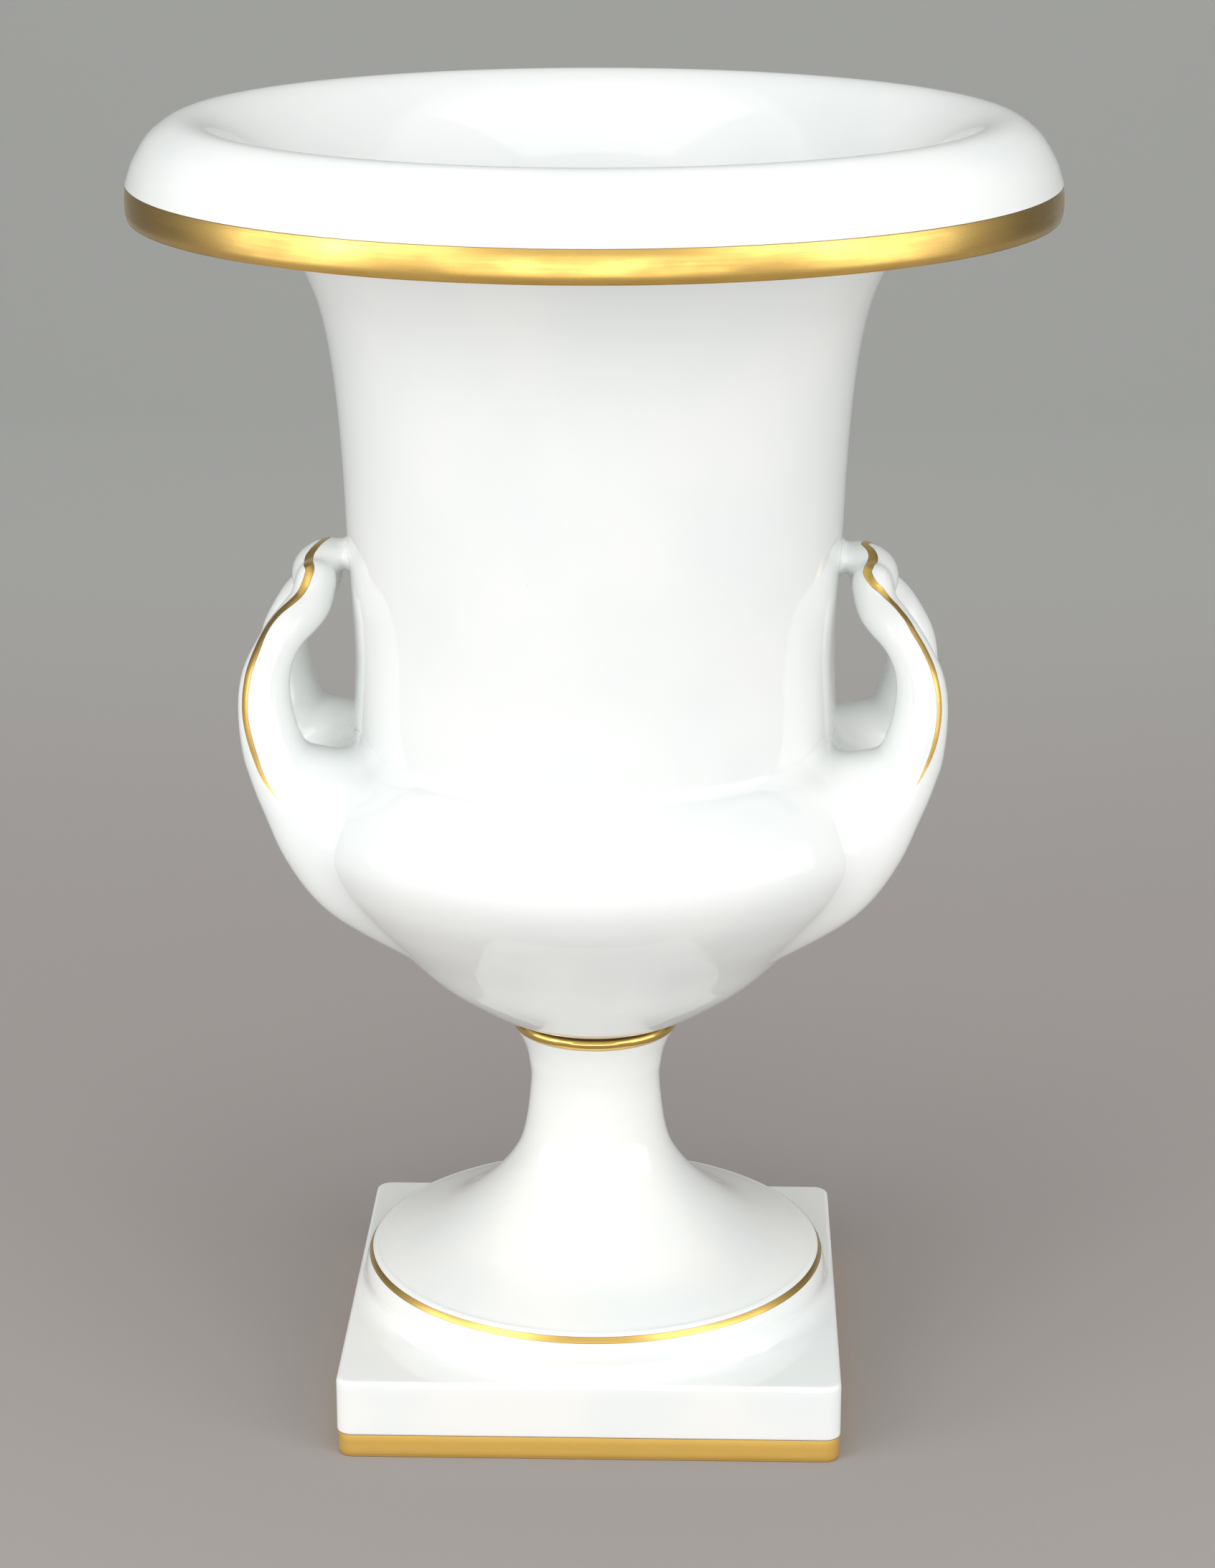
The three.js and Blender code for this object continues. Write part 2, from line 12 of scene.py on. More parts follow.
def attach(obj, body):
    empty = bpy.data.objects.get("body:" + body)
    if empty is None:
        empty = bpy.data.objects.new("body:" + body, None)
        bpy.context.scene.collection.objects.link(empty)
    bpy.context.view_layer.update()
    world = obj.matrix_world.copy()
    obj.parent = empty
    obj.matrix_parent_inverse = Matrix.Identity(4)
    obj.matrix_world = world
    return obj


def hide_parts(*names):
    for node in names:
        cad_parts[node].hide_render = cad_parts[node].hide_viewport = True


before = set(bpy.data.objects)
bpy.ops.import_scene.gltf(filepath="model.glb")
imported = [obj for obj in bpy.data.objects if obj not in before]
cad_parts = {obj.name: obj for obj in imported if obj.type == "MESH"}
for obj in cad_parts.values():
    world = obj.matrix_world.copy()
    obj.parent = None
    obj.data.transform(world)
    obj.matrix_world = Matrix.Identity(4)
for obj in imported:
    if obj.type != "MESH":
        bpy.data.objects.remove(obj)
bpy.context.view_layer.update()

bl_info = {
    "name": "Campana krater",
    "version": (1, 0, 0),
    "blender": (4, 5, 0),
    "location": "View3D > Sidebar > Krater",
    "description": "White porcelain krater with gilded lip, collar, foot and wishbone handles",
    "category": "Object",
}

MM = 0.001
BODY = "root"
TURN_STEPS = 192
SMALL_STEPS = 64
MERGE = 2e-6


def length(name, description, millimetres):
    return bpy.props.FloatProperty(
        name=name, description=description, default=millimetres * MM, min=0, unit="LENGTH", precision=5)


def colour(name, description, default):
    return bpy.props.FloatVectorProperty(
        name=name, description=description, default=default, size=3, min=0, max=1, subtype="COLOR")


def share(name, description, default):
    return bpy.props.FloatProperty(
        name=name, description=description, default=default, min=0, max=1, subtype="FACTOR")


class KraterHeights(bpy.types.PropertyGroup):
    """How tall each part of the krater is"""
    plinth_height: length("Plinth", "From the table to the plinth's top", 30.3)
    disc_height: length("Disc", "From the plinth's top to the disc's shoulder", 14.2)
    stem_height: length("Stem", "From the disc's shoulder to the collar", 92.4)
    collar_height: length("Collar", "Height of the gilded collar", 5.6)
    bowl_height: length("Bowl", "From the collar to the crease", 109.9)
    bell_height: length("Bell", "From the crease to the top of the lip", 228.4)


class KraterWidths(bpy.types.PropertyGroup):
    """Widths, rounds and walls of the porcelain"""
    plinth_side: length("Plinth side", "Side of the square plinth", 186)
    plinth_edge: length("Plinth edge", "Round along the plinth's upper edge", 1.8)
    plinth_corner: length("Plinth corner", "Round of the plinth's upright corners", 6)
    disc_margin: length("Disc margin", "From the disc's side to the plinth's side", 3.8)
    stem_waist: length("Stem waist", "Radius at the narrowest place of the stem", 24.6)
    collar_radius: length("Collar radius", "Radius of the gilded bead", 31.5)
    collar_neck: length("Collar neck", "Height of the recess between bead and bowl", 1.1)
    bowl_foot_radius: length("Bowl foot", "Radius of the bowl where it meets the collar", 32.6)
    bowl_radius: length("Bowl radius", "Largest radius of the bowl", 111.3)
    crease_radius: length("Crease radius", "Radius where bowl and bell meet", 89.2)
    crease_round: length("Crease round", "Reach of the soft round in the crease", 2.6)
    lip_radius: length("Lip radius", "Largest radius of the rolled lip", 166.4)
    lip_drop: length("Lip drop", "From the top of the lip to its lower edge", 34)
    lip_edge: length("Lip edge", "Thickness of the lip's lower edge", 8.6)
    bell_wall: length("Bell wall", "Thickness of the bell", 5.6)
    bowl_wall: length("Bowl wall", "Thickness of the bowl", 6)
    bowl_floor: length("Bowl floor", "Thickness of the clamping pad", 10.8)
    foot_wall: length("Foot wall", "Thickness of the stem's wall", 6.3)
    foot_web: length("Foot web", "Thickness of the web at the stem's top", 10.5)
    plinth_wall: length("Plinth wall", "Width of the plinth's standing rim", 8)
    plinth_roof: length("Plinth roof", "Thickness of the plinth's top", 5.5)


class KraterGilding(bpy.types.PropertyGroup):
    """Widths of the gilded bands and lines"""
    lip_band: length("Lip band", "Width of the gold round the lip", 11.8)
    plinth_band: length("Plinth band", "Width of the gold round the plinth", 8.9)
    foot_line: length("Foot line", "Width of the gold line on the disc", 2.6)
    handle_line: length("Handle line", "Widest place of the gold lines on the handles", 4)
    film: length("Film", "Depth of the seat that the gold lies in", 0.3)
    line_tilt: bpy.props.FloatProperty(
        name="Line tilt", description="Slope of the disc's shoulder under the gold line",
        default=math.radians(58), min=0, max=1.5, subtype="ANGLE")


class KraterHandles(bpy.types.PropertyGroup):
    """Sizes of the two wishbone handles"""
    handle_rise: length("Rise", "From the crease to the top of a handle", 74.4)
    grip_width: length("Grip", "Room between the bell and an arm", 21)
    arm_thickness: length("Arm thickness", "Thickness of an arm, seen from the front", 19.6)
    arm_width: length("Arm width", "Width of an arm, seen from the side", 23)
    arm_spread: length("Arm spread", "From the middle of a handle to an arm at the crease", 33)
    lobe_half: length("Lobe half", "Half the width of the lobe on the bowl", 68)
    lobe_relief: length("Lobe relief", "How far the lobe stands out of the bowl", 7)


class KraterFastenings(bpy.types.PropertyGroup):
    """Sizes of the rod, nuts, washers and packings"""
    rod_radius: length("Rod radius", "Radius of the tie rod", 4)
    rod_clearance: length("Rod clearance", "Room round the rod in each bore", 0.5)
    rod_proud: length("Rod proud", "How far the rod stands out of each nut", 3)
    thread_pitch: length("Thread pitch", "Distance between two threads", 1.25)
    thread_run: length("Thread run", "Threaded length at each end of the rod", 22)
    nut_flats: length("Nut flats", "Width of a nut across its flats", 13)
    nut_height: length("Nut height", "Height of a nut", 6.5)
    washer_radius: length("Washer radius", "Radius of a washer", 13)
    washer_thickness: length("Washer thickness", "Thickness of a washer", 2)
    cushion_radius: length("Cushion radius", "Radius of the cork under the top washer", 15.5)
    packing: length("Packing", "Thickness of the cork and felt packings", 3)
    collar_bore: length("Collar bore", "Radius of the hole through the collar", 12)
    cork_gap: length("Cork gap", "Room between the joint's cork and the collar", 0.3)
    ledge_bore: length("Ledge bore", "Radius of the hollow above the plinth's tray", 50)
    ledge_width: length("Ledge width", "Width of the ledge that the plate bears on", 12)
    plate_thickness: length("Plate thickness", "Thickness of the clamping plate", 3)


class KraterFinishes(bpy.types.PropertyGroup):
    """Colours of the glaze, the gold and the fastenings"""
    glaze: colour("Glaze", "White of the fired glaze", (0.875, 0.895, 0.88))
    foot_glaze: colour("Foot glaze", "Slightly warmer white of the foot", (0.895, 0.893, 0.862))
    pooled: colour("Pooled glaze", "Cooler white where the glaze lies thick", (0.83, 0.865, 0.855))
    speck: colour("Speck", "Grey of the small specks in the glaze", (0.33, 0.31, 0.27))
    biscuit: colour("Biscuit", "Unglazed porcelain under the standing rim", (0.78, 0.75, 0.69))
    gold: colour("Gold", "Bright gold where it is burnished", (0.96, 0.64, 0.15))
    deep_gold: colour("Deep gold", "Brown gold where it is matt or thin", (0.56, 0.335, 0.072))
    # The gold edge colour is the brown line along a band's edge, and also painted shade on the collar's top and at
    # the plinth band's foot
    gold_edge: colour("Gold edge", "Brown line along the edge of a band", (0.20, 0.11, 0.035))
    brass: colour("Brass", "Turned brass of nuts and washers", (0.62, 0.44, 0.16))
    steel: colour("Steel", "Plain steel of the rod and the plate", (0.46, 0.47, 0.48))
    cork: colour("Cork", "Pressed cork of the packings", (0.40, 0.23, 0.115))
    felt: colour("Felt", "Dark green felt of the ring", (0.055, 0.085, 0.055))
    gloss: share("Glaze roughness", "Roughness of the glaze", 0.07)
    satin: share("Gold roughness", "Roughness of the brushed gold", 0.30)
    burnish: share("Burnished roughness", "Roughness of the polished collar", 0.13)


class KraterStage(bpy.types.PropertyGroup):
    """Camera, lamps, floor and backdrop"""
    floor: colour("Floor", "Colour of the floor", (0.3, 0.277, 0.265))
    backdrop: colour("Backdrop", "Colour of the backdrop", (0.39, 0.398, 0.38))
    camera_place: bpy.props.FloatVectorProperty(
        name="Camera place", description="Where the camera stands", default=(0.0410, -1.3145, 0.6389),
        size=3, unit="LENGTH", subtype="TRANSLATION")
    camera_pan: bpy.props.FloatProperty(
        name="Camera pan", description="Turn of the camera about the upright axis",
        default=math.radians(1.584), subtype="ANGLE")
    camera_tilt: bpy.props.FloatProperty(
        name="Camera tilt", description="How far the camera looks down",
        default=math.radians(17.188), subtype="ANGLE")
    lens: bpy.props.FloatProperty(
        name="Lens", description="Focal length in millimetres on a 36 mm high frame", default=84.53, min=1)
    key_power: bpy.props.FloatProperty(
        name="Key power", description="Watts of each soft box", default=5.6, min=0, unit="POWER")
    top_power: bpy.props.FloatProperty(
        name="Top power", description="Watts of the overhead soft light", default=9.5, min=0, unit="POWER")
    fill_power: bpy.props.FloatProperty(
        name="Fill power", description="Watts of the wide low light in front", default=8.5, min=0, unit="POWER")
    side_power: bpy.props.FloatProperty(
        name="Side power", description="Watts of each low light beside the vase", default=4.2, min=0, unit="POWER")
    sky: bpy.props.FloatProperty(
        name="Sky", description="Strength of the even light from all round", default=0.8, min=0)


GROUPS = {
    "krater_heights": KraterHeights,
    "krater_widths": KraterWidths,
    "krater_gilding": KraterGilding,
    "krater_handles": KraterHandles,
    "krater_fastenings": KraterFastenings,
    "krater_finishes": KraterFinishes,
    "krater_stage": KraterStage,
}
ANGLES = ("line_tilt",)
SIZE_GROUPS = ("krater_heights", "krater_widths", "krater_gilding", "krater_handles", "krater_fastenings")


class Plan:
    """The sizes in millimetres, as the panel has them, and the places that follow from them"""

    def __init__(self, scene):
        for group in SIZE_GROUPS:
            sizes = getattr(scene, group)
            for name in GROUPS[group].__annotations__:
                value = getattr(sizes, name)
                setattr(self, name, value if name in ANGLES else value / MM)
        self.disc_radius = self.plinth_side / 2 - self.disc_margin
        self.disc_top = self.plinth_height + self.disc_height
        self.stem_top = self.disc_top + self.stem_height
        self.bowl_base = self.stem_top + self.collar_height
        self.crease = self.bowl_base + self.bowl_height
        self.top = self.crease + self.bell_height
        self.bore = self.rod_radius + self.rod_clearance
        self.floor_top = self.bowl_base + self.bowl_floor
        self.band_bottom = self.top - self.lip_drop
        self.band_top = self.band_bottom + self.lip_band
        self.ledge = self.plinth_height - self.plinth_roof

    def on_bell(self, part):
        return self.crease + self.bell_height * part

    def on_bowl(self, part):
        return self.crease - self.bowl_height * part

    def on_stem(self, part):
        return self.disc_top + self.stem_height * part

    def on_handle(self, part):
        return self.crease + self.handle_rise * part

    def flare(self, part):
        return self.crease_radius + (self.lip_radius - self.crease_radius) * part


# Outlines

def ramp(value, full, none):
    """1 at full, 0 at none and beyond, with a soft start and end"""
    part = min(max((value - none) / (full - none), 0), 1)
    return part * part * (3 - 2 * part)


def spline(points, count):
    """Evenly counted points on a smooth curve through the given ones, of any dimension"""
    knots = [Vector(p) for p in points]
    last = len(knots) - 1
    made = []
    for i in range(count + 1):
        place = last * i / count
        k = min(int(place), last - 1)
        t = place - k
        before, start, end, after = knots[max(k - 1, 0)], knots[k], knots[k + 1], knots[min(k + 2, last)]
        leave, arrive = (end - before) / 2, (after - start) / 2
        made.append(start * (2 * t**3 - 3 * t**2 + 1) + leave * (t**3 - 2 * t**2 + t)
                    + end * (3 * t**2 - 2 * t**3) + arrive * (t**3 - t**2))
    return [tuple(p) for p in made]


def inwards(side, wall):
    """The inner side of a wall, from the outer side going up"""
    made = []
    for i, (r, z) in enumerate(side):
        r0, z0 = side[max(i - 1, 0)]
        r1, z1 = side[min(i + 1, len(side) - 1)]
        run = math.hypot(r1 - r0, z1 - z0)
        made.append((r - wall * (z1 - z0) / run, z + wall * (r1 - r0) / run))
    return made


def rounded(outline, steps=6):
    """The closed outline with a round at each point that gives a radius as its third value"""
    made = []
    for i, corner in enumerate(outline):
        if len(corner) == 2:
            made.append(corner)
            continue
        here = Vector(corner[:2])
        back = (Vector(outline[i - 1][:2]) - here).normalized()
        on = (Vector(outline[(i + 1) % len(outline)][:2]) - here).normalized()
        half = back.angle(on) / 2
        centre = here + (back + on).normalized() * (corner[2] / math.sin(half))
        start = (here + back * (corner[2] / math.tan(half)) - centre).normalized()
        end = (here + on * (corner[2] / math.tan(half)) - centre).normalized()
        made += [tuple(centre + start.slerp(end, k / steps) * corner[2]) for k in range(steps + 1)]
    return made


def radius_finder(side):
    """Finds the radius of an outline that goes up, at any height"""
    heights = [z for _, z in side]

    def find(z):
        k = min(max(bisect(heights, z), 1), len(side) - 1)
        (r0, z0), (r1, z1) = side[k - 1], side[k]
        return r0 + (r1 - r0) * min(max((z - z0) / (z1 - z0), 0), 1)
    return find


def bowl_side(p):
    return spline([
        (p.bowl_foot_radius, p.bowl_base),
        (p.bowl_foot_radius + 11.2, p.on_bowl(0.947)),
        (p.bowl_foot_radius + 29.6, p.on_bowl(0.83)),
        (p.bowl_radius - 33, p.on_bowl(0.685)),
        (p.bowl_radius - 16.5, p.on_bowl(0.535)),
        (p.bowl_radius - 4.6, p.on_bowl(0.398)),
        (p.bowl_radius, p.on_bowl(0.271)),
        (p.bowl_radius - 4.6, p.on_bowl(0.14)),
        (p.crease_radius + 6.5, p.on_bowl(0.04)),
        (p.crease_radius + 0.2, p.crease),
    ], 90)


def bell_side(p):
    return spline([
        (p.crease_radius - 0.4, p.crease),
        (p.crease_radius, p.on_bell(0.053)),
        (p.crease_radius - 0.6, p.on_bell(0.158)),
        (p.crease_radius + 1.3, p.on_bell(0.324)),
        (p.crease_radius + 2.8, p.on_bell(0.473)),
        (p.crease_radius + 5.4, p.on_bell(0.604)),
        (p.flare(0.122), p.on_bell(0.7)),
        (p.flare(0.2), p.on_bell(0.77)),
        (p.flare(0.3), p.on_bell(0.836)),
        (p.flare(0.456), p.on_bell(0.899)),
        (p.flare(0.65), p.on_bell(0.941)),
        (p.flare(0.793), p.on_bell(0.93)),
        (p.flare(0.864), p.on_bell(0.891)),
        (p.lip_radius - p.lip_edge, p.band_bottom + 4),
    ], 130)


def crease_round(p):
    """The soft round in the crease, with the bowl's side below it and the bell's above"""
    corner = Vector((p.crease_radius - 0.1, p.crease))
    lower = [q for q in bowl_side(p) if (Vector(q) - corner).length > p.crease_round]
    upper = [q for q in bell_side(p) if (Vector(q) - corner).length > p.crease_round]
    start, end = Vector(lower[-1]), Vector(upper[0])
    steps = 16
    arc = []
    for k in range(1, steps):
        t = k / steps
        arc.append(tuple(start * (1 - t) ** 2 + corner * (2 * t * (1 - t)) + end * t**2))
    return lower, arc, upper


def skin(p, clear=0.0):
    """The outside of bowl and bell in one run going up, moved out by a clearance"""
    lower, arc, upper = crease_round(p)
    below_lip = [q for q in upper if q[1] < p.on_bell(0.75)]
    return [(r + clear, z) for r, z in lower + arc + below_lip]


def stem_side(p):
    """The foot's side from the gold line up to the collar, and the seat of the gold line"""
    bottom = (p.disc_radius - 1.5, p.disc_top)
    top = (bottom[0] - p.foot_line * math.cos(p.line_tilt), bottom[1] + p.foot_line * math.sin(p.line_tilt))
    side = spline([
        top,
        (p.disc_radius - 4.4, p.on_stem(0.0345)),
        (p.disc_radius - 8.2, p.on_stem(0.046)),
        (p.disc_radius - 28, p.on_stem(0.128)),
        (p.stem_waist + 19, p.on_stem(0.268)),
        (p.stem_waist + 7.8, p.on_stem(0.407)),
        (p.stem_waist + 2.6, p.on_stem(0.538)),
        (p.stem_waist, p.on_stem(0.751)),
        (p.stem_waist + 0.7, p.on_stem(0.85)),
        (p.stem_waist + 1.9, p.on_stem(0.91)),
        (p.collar_radius - 3.2, p.on_stem(0.957)),
        (p.collar_radius - 1.1, p.stem_top),
    ], 78)
    return bottom, top, side


# Modelling

def deselect():
    if bpy.context.object and bpy.context.object.mode != "OBJECT":
        bpy.ops.object.mode_set(mode="OBJECT")
    bpy.ops.object.select_all(action="DESELECT")


def only(piece):
    deselect()
    piece.select_set(True)
    bpy.context.view_layer.objects.active = piece


def named(name):
    piece = bpy.context.object
    piece.name = name
    piece.data.name = name
    return piece


def edit(piece):
    only(piece)
    bpy.ops.object.mode_set(mode="EDIT")
    bpy.ops.mesh.select_all(action="SELECT")


def close_mesh(piece, smooth_below=35):
    """Merges the seam, turns the faces outwards and shades all but the sharp edges smooth"""
    edit(piece)
    bpy.ops.mesh.remove_doubles(threshold=MERGE)
    bpy.ops.mesh.normals_make_consistent(inside=False)
    bpy.ops.object.mode_set(mode="OBJECT")
    bpy.ops.object.shade_smooth_by_angle(angle=math.radians(smooth_below))
    if has_open_edges(piece):
        raise RuntimeError(f"{piece.name} is not closed")
    return piece


def has_open_edges(piece):
    mesh = bmesh.new()
    mesh.from_mesh(piece.data)
    found = any(len(e.link_faces) != 2 for e in mesh.edges)
    mesh.free()
    return found


def turned(name, outline, steps=TURN_STEPS):
    """A closed outline of (radius, height) points, drawn by extruding one vertex and spun about Z"""
    deselect()
    first = outline[0]
    bpy.ops.mesh.primitive_plane_add(size=MM, location=(first[0] * MM, 0, first[1] * MM))
    piece = named(name)
    bpy.ops.object.transform_apply(location=True, rotation=True, scale=True)
    edit(piece)
    bpy.ops.mesh.merge(type="CENTER")
    on_axis = outline[0][0] == 0 and outline[-1][0] == 0
    for (r0, z0), (r1, z1) in zip(outline, outline[1:] + ([] if on_axis else outline[:1])):
        bpy.ops.mesh.extrude_vertices_move(
            TRANSFORM_OT_translate={"value": ((r1 - r0) * MM, 0, (z1 - z0) * MM)})
    bpy.ops.mesh.select_all(action="SELECT")
    bpy.ops.mesh.remove_doubles(threshold=MERGE)
    bpy.ops.mesh.spin(steps=steps, angle=math.tau, center=(0, 0, 0), axis=(0, 0, 1))
    return close_mesh(piece)


def lofted(name, rings, closed=False):
    """A skin over rings of as many points each: a circle is extruded once for each ring, and then
    each level is laid on its ring. A ring of one repeated point makes a pole."""
    deselect()
    count = len(rings[0])
    bpy.ops.mesh.primitive_circle_add(vertices=count, radius=1, fill_type="NOTHING", location=(0, 0, 0))
    piece = named(name)
    edit(piece)
    for _ in rings[1:]:
        bpy.ops.mesh.extrude_edges_move(TRANSFORM_OT_translate={"value": (0, 0, 1)})
    bpy.ops.object.mode_set(mode="OBJECT")
    start = math.atan2(piece.data.vertices[0].co.y, piece.data.vertices[0].co.x)
    for vertex in piece.data.vertices:
        level = round(vertex.co.z)
        turn = (math.atan2(vertex.co.y, vertex.co.x) - start) / math.tau
        point = rings[level][round(turn * count) % count]
        vertex.co = Vector(point) * MM
    if closed:
        edit(piece)
        bpy.ops.mesh.remove_doubles(threshold=MERGE)
        bpy.ops.object.mode_set(mode="OBJECT")
    return piece


def apply(piece, kind, **settings):
    """Adds one modifier, sets it and applies it"""
    only(piece)
    bpy.ops.object.modifier_add(type=kind)
    modifier = piece.modifiers[-1]
    for key, value in settings.items():
        setattr(modifier, key, value)
    bpy.ops.object.modifier_apply(modifier=modifier.name)
    return piece


def join(name, pieces):
    deselect()
    for piece in pieces:
        piece.select_set(True)
    bpy.context.view_layer.objects.active = pieces[0]
    bpy.ops.object.join()
    return named(name)


def remove(piece):
    only(piece)
    bpy.ops.object.delete()


def surface_of(piece):
    mesh = bmesh.new()
    mesh.from_mesh(piece.data)
    tree = BVHTree.FromBMesh(mesh)
    mesh.free()
    return tree


def mark_across(piece, measure):
    """Stores how far each point lies inside its gold band: 0 at the edges, 1 in the middle; a piece may also mark 0
    where its brown edge colour stands for painted shade
    """
    marks = piece.data.attributes.new("across", "FLOAT", "POINT")
    marks.data.foreach_set("value", [measure(v.co / MM) for v in piece.data.vertices])


def between(value, low, high):
    """How far inside low and high a value lies: 0 outside and at the ends, 1 in the middle"""
    return max(0.0, 1 - abs(2 * (value - low) / (high - low) - 1))


def dress(piece, material, slot, *nodes):
    """Gives a finished piece its material and its place in the frame"""
    piece.data.materials.clear()
    piece.data.materials.append(material)
    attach(piece, BODY)
    if nodes:
        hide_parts(*nodes)
    return piece


# Materials

class Wiring:
    """Short ways to add nodes to one tree and join them"""

    def __init__(self, tree):
        self.tree = tree

    def add(self, kind, links=None, **settings):
        node = self.tree.nodes.new(kind)
        for key, value in settings.items():
            setattr(node, key, value)
        for socket, value in (links or {}).items():
            self.feed(node.inputs[socket], value)
        return node

    def feed(self, socket, value):
        if isinstance(value, bpy.types.NodeSocket):
            self.tree.links.new(value, socket)
        else:
            socket.default_value = value

    def math(self, operation, a, b=0.5, clamp=False):
        return self.add("ShaderNodeMath", {0: a, 1: b}, operation=operation, use_clamp=clamp).outputs[0]

    def mix(self, factor, a, b):
        node = self.add("ShaderNodeMix", data_type="RGBA")
        self.feed(node.inputs["Factor"], factor)
        self.feed(node.inputs[6], a)
        self.feed(node.inputs[7], b)
        return node.outputs[2]

    def spread(self, value, low, high, to_low=0.0, to_high=1.0, smooth=False):
        node = self.add("ShaderNodeMapRange", {0: value, 1: low, 2: high, 3: to_low, 4: to_high})
        node.interpolation_type = "SMOOTHSTEP" if smooth else "LINEAR"
        return node.outputs[0]

    def place(self, stretch=(1, 1, 1), shift=(0, 0, 0)):
        coordinates = self.add("ShaderNodeTexCoord").outputs["Object"]
        links = {"Vector": coordinates, "Scale": stretch, "Location": shift}
        return self.add("ShaderNodeMapping", links).outputs[0]

    def noise(self, place, scale, detail=2.0, roughness=0.5):
        links = {"Vector": place, "Scale": scale, "Detail": detail, "Roughness": roughness}
        return self.add("ShaderNodeTexNoise", links).outputs[0]


def effect(name, inputs, outputs, build):
    """A node group with named inputs and outputs, made once"""
    group = bpy.data.node_groups.get(name)
    if group:
        return group
    group = bpy.data.node_groups.new(name, "ShaderNodeTree")
    kinds = {float: "NodeSocketFloat", tuple: "NodeSocketColor"}
    for label, default in inputs.items():
        socket = group.interface.new_socket(name=label, in_out="INPUT", socket_type=kinds[type(default)])
        socket.default_value = default
    for label, kind in outputs.items():
        group.interface.new_socket(name=label, in_out="OUTPUT", socket_type=kinds[kind])
    wiring = Wiring(group)
    given = wiring.add("NodeGroupInput").outputs
    results = build(wiring, given)
    wiring.add("NodeGroupOutput", results)
    return group


def fired_glaze():
    """Glaze with faint clouds, rare specks, soft ripples and a slightly uneven gloss"""
    def build(w, given):
        place = w.place()
        clouds = w.noise(place, 16.0, 2.0)
        fine = w.noise(place, 260.0, 3.0)
        tone = w.spread(clouds, 0.35, 0.7, smooth=True)
        body = w.mix(tone, given["Colour"], given["Pooled"])
        cells = w.add("ShaderNodeTexVoronoi", {"Vector": place, "Scale": 46.0}, feature="F1")
        near = w.spread(cells.outputs["Distance"], 0.012, 0.028, 1.0, 0.0, smooth=True)
        chosen = w.add("ShaderNodeSeparateColor", {0: cells.outputs["Color"]}).outputs[0]
        rare = w.math("LESS_THAN", chosen, given["Specks"])
        dot = w.math("MULTIPLY", w.math("MULTIPLY", near, rare), 0.55)
        shown = w.mix(dot, body, given["Speck Colour"])
        rough = w.math("ADD", given["Roughness"], w.spread(fine, 0.3, 0.75, -0.012, 0.025))
        swell = w.math("MULTIPLY", w.noise(place, 24.0, 1.5), 0.10)
        ripple = w.math("MULTIPLY", w.noise(place, 150.0, 2.0), 0.010)
        pit = w.math("MULTIPLY", dot, -0.03)
        height = w.math("ADD", w.math("ADD", swell, ripple), pit)
        return {0: shown, 1: rough, 2: height}
    return effect(
        "Fired glaze",
        {"Colour": (0.8, 0.8, 0.8, 1.0), "Pooled": (0.8, 0.8, 0.8, 1.0), "Speck Colour": (0.2, 0.2, 0.2, 1.0),
         "Specks": 0.1, "Roughness": 0.08},
        {"Colour": tuple, "Roughness": float, "Height": float}, build)


def worn_gilding():
    """Brushed gold: fine streaks along the band, cloudy burnishing, dust, and a brown edge that also serves as
    painted shade where a piece marks a shaded part as edge
    """
    def build(w, given):
        streaks = w.noise(w.place((26, 26, 900)), 1.0, 4.0, 0.6)
        clouds = w.noise(w.place((1, 1, 2.2)), 42.0, 3.0, 0.55)
        dust = w.noise(w.place(), 900.0, 3.0, 0.7)
        across = w.add("ShaderNodeAttribute", attribute_name="across", attribute_type="GEOMETRY").outputs["Fac"]
        brushed = w.math("MULTIPLY", w.math("SUBTRACT", streaks, 0.5), given["Streaks"])
        cloudy = w.math("MULTIPLY", w.math("SUBTRACT", clouds, 0.5), given["Clouds"])
        tone = w.math("ADD", w.math("ADD", brushed, cloudy), given["Matt"], clamp=True)
        dusty = w.spread(dust, 0.62, 0.8, 0.0, given["Dust"])
        body = w.mix(tone, given["Gold"], given["Deep"])
        body = w.mix(dusty, body, given["Deep"])
        # The brown edge line, which is also painted shade where a piece marks a shaded part of its band as edge
        rim = w.spread(across, 0.0, given["Edge"], 0.85, 0.0, smooth=True)
        shown = w.mix(rim, body, given["Edge Colour"])
        rough = w.math("ADD", given["Roughness"], w.math("MULTIPLY", w.math("SUBTRACT", tone, given["Matt"]), 0.22))
        rough = w.math("ADD", rough, w.math("MULTIPLY", rim, 0.12), clamp=True)
        height = w.math("ADD", w.math("MULTIPLY", streaks, 0.006), w.math("MULTIPLY", clouds, 0.03))
        return {0: shown, 1: rough, 2: height}
    return effect(
        "Worn gilding",
        {"Gold": (0.8, 0.6, 0.2, 1.0), "Deep": (0.5, 0.3, 0.1, 1.0), "Edge Colour": (0.2, 0.1, 0.05, 1.0),
         "Roughness": 0.3, "Streaks": 1.0, "Clouds": 1.0, "Dust": 0.3, "Edge": 0.05, "Matt": 0.42},
        {"Colour": tuple, "Roughness": float, "Height": float}, build)


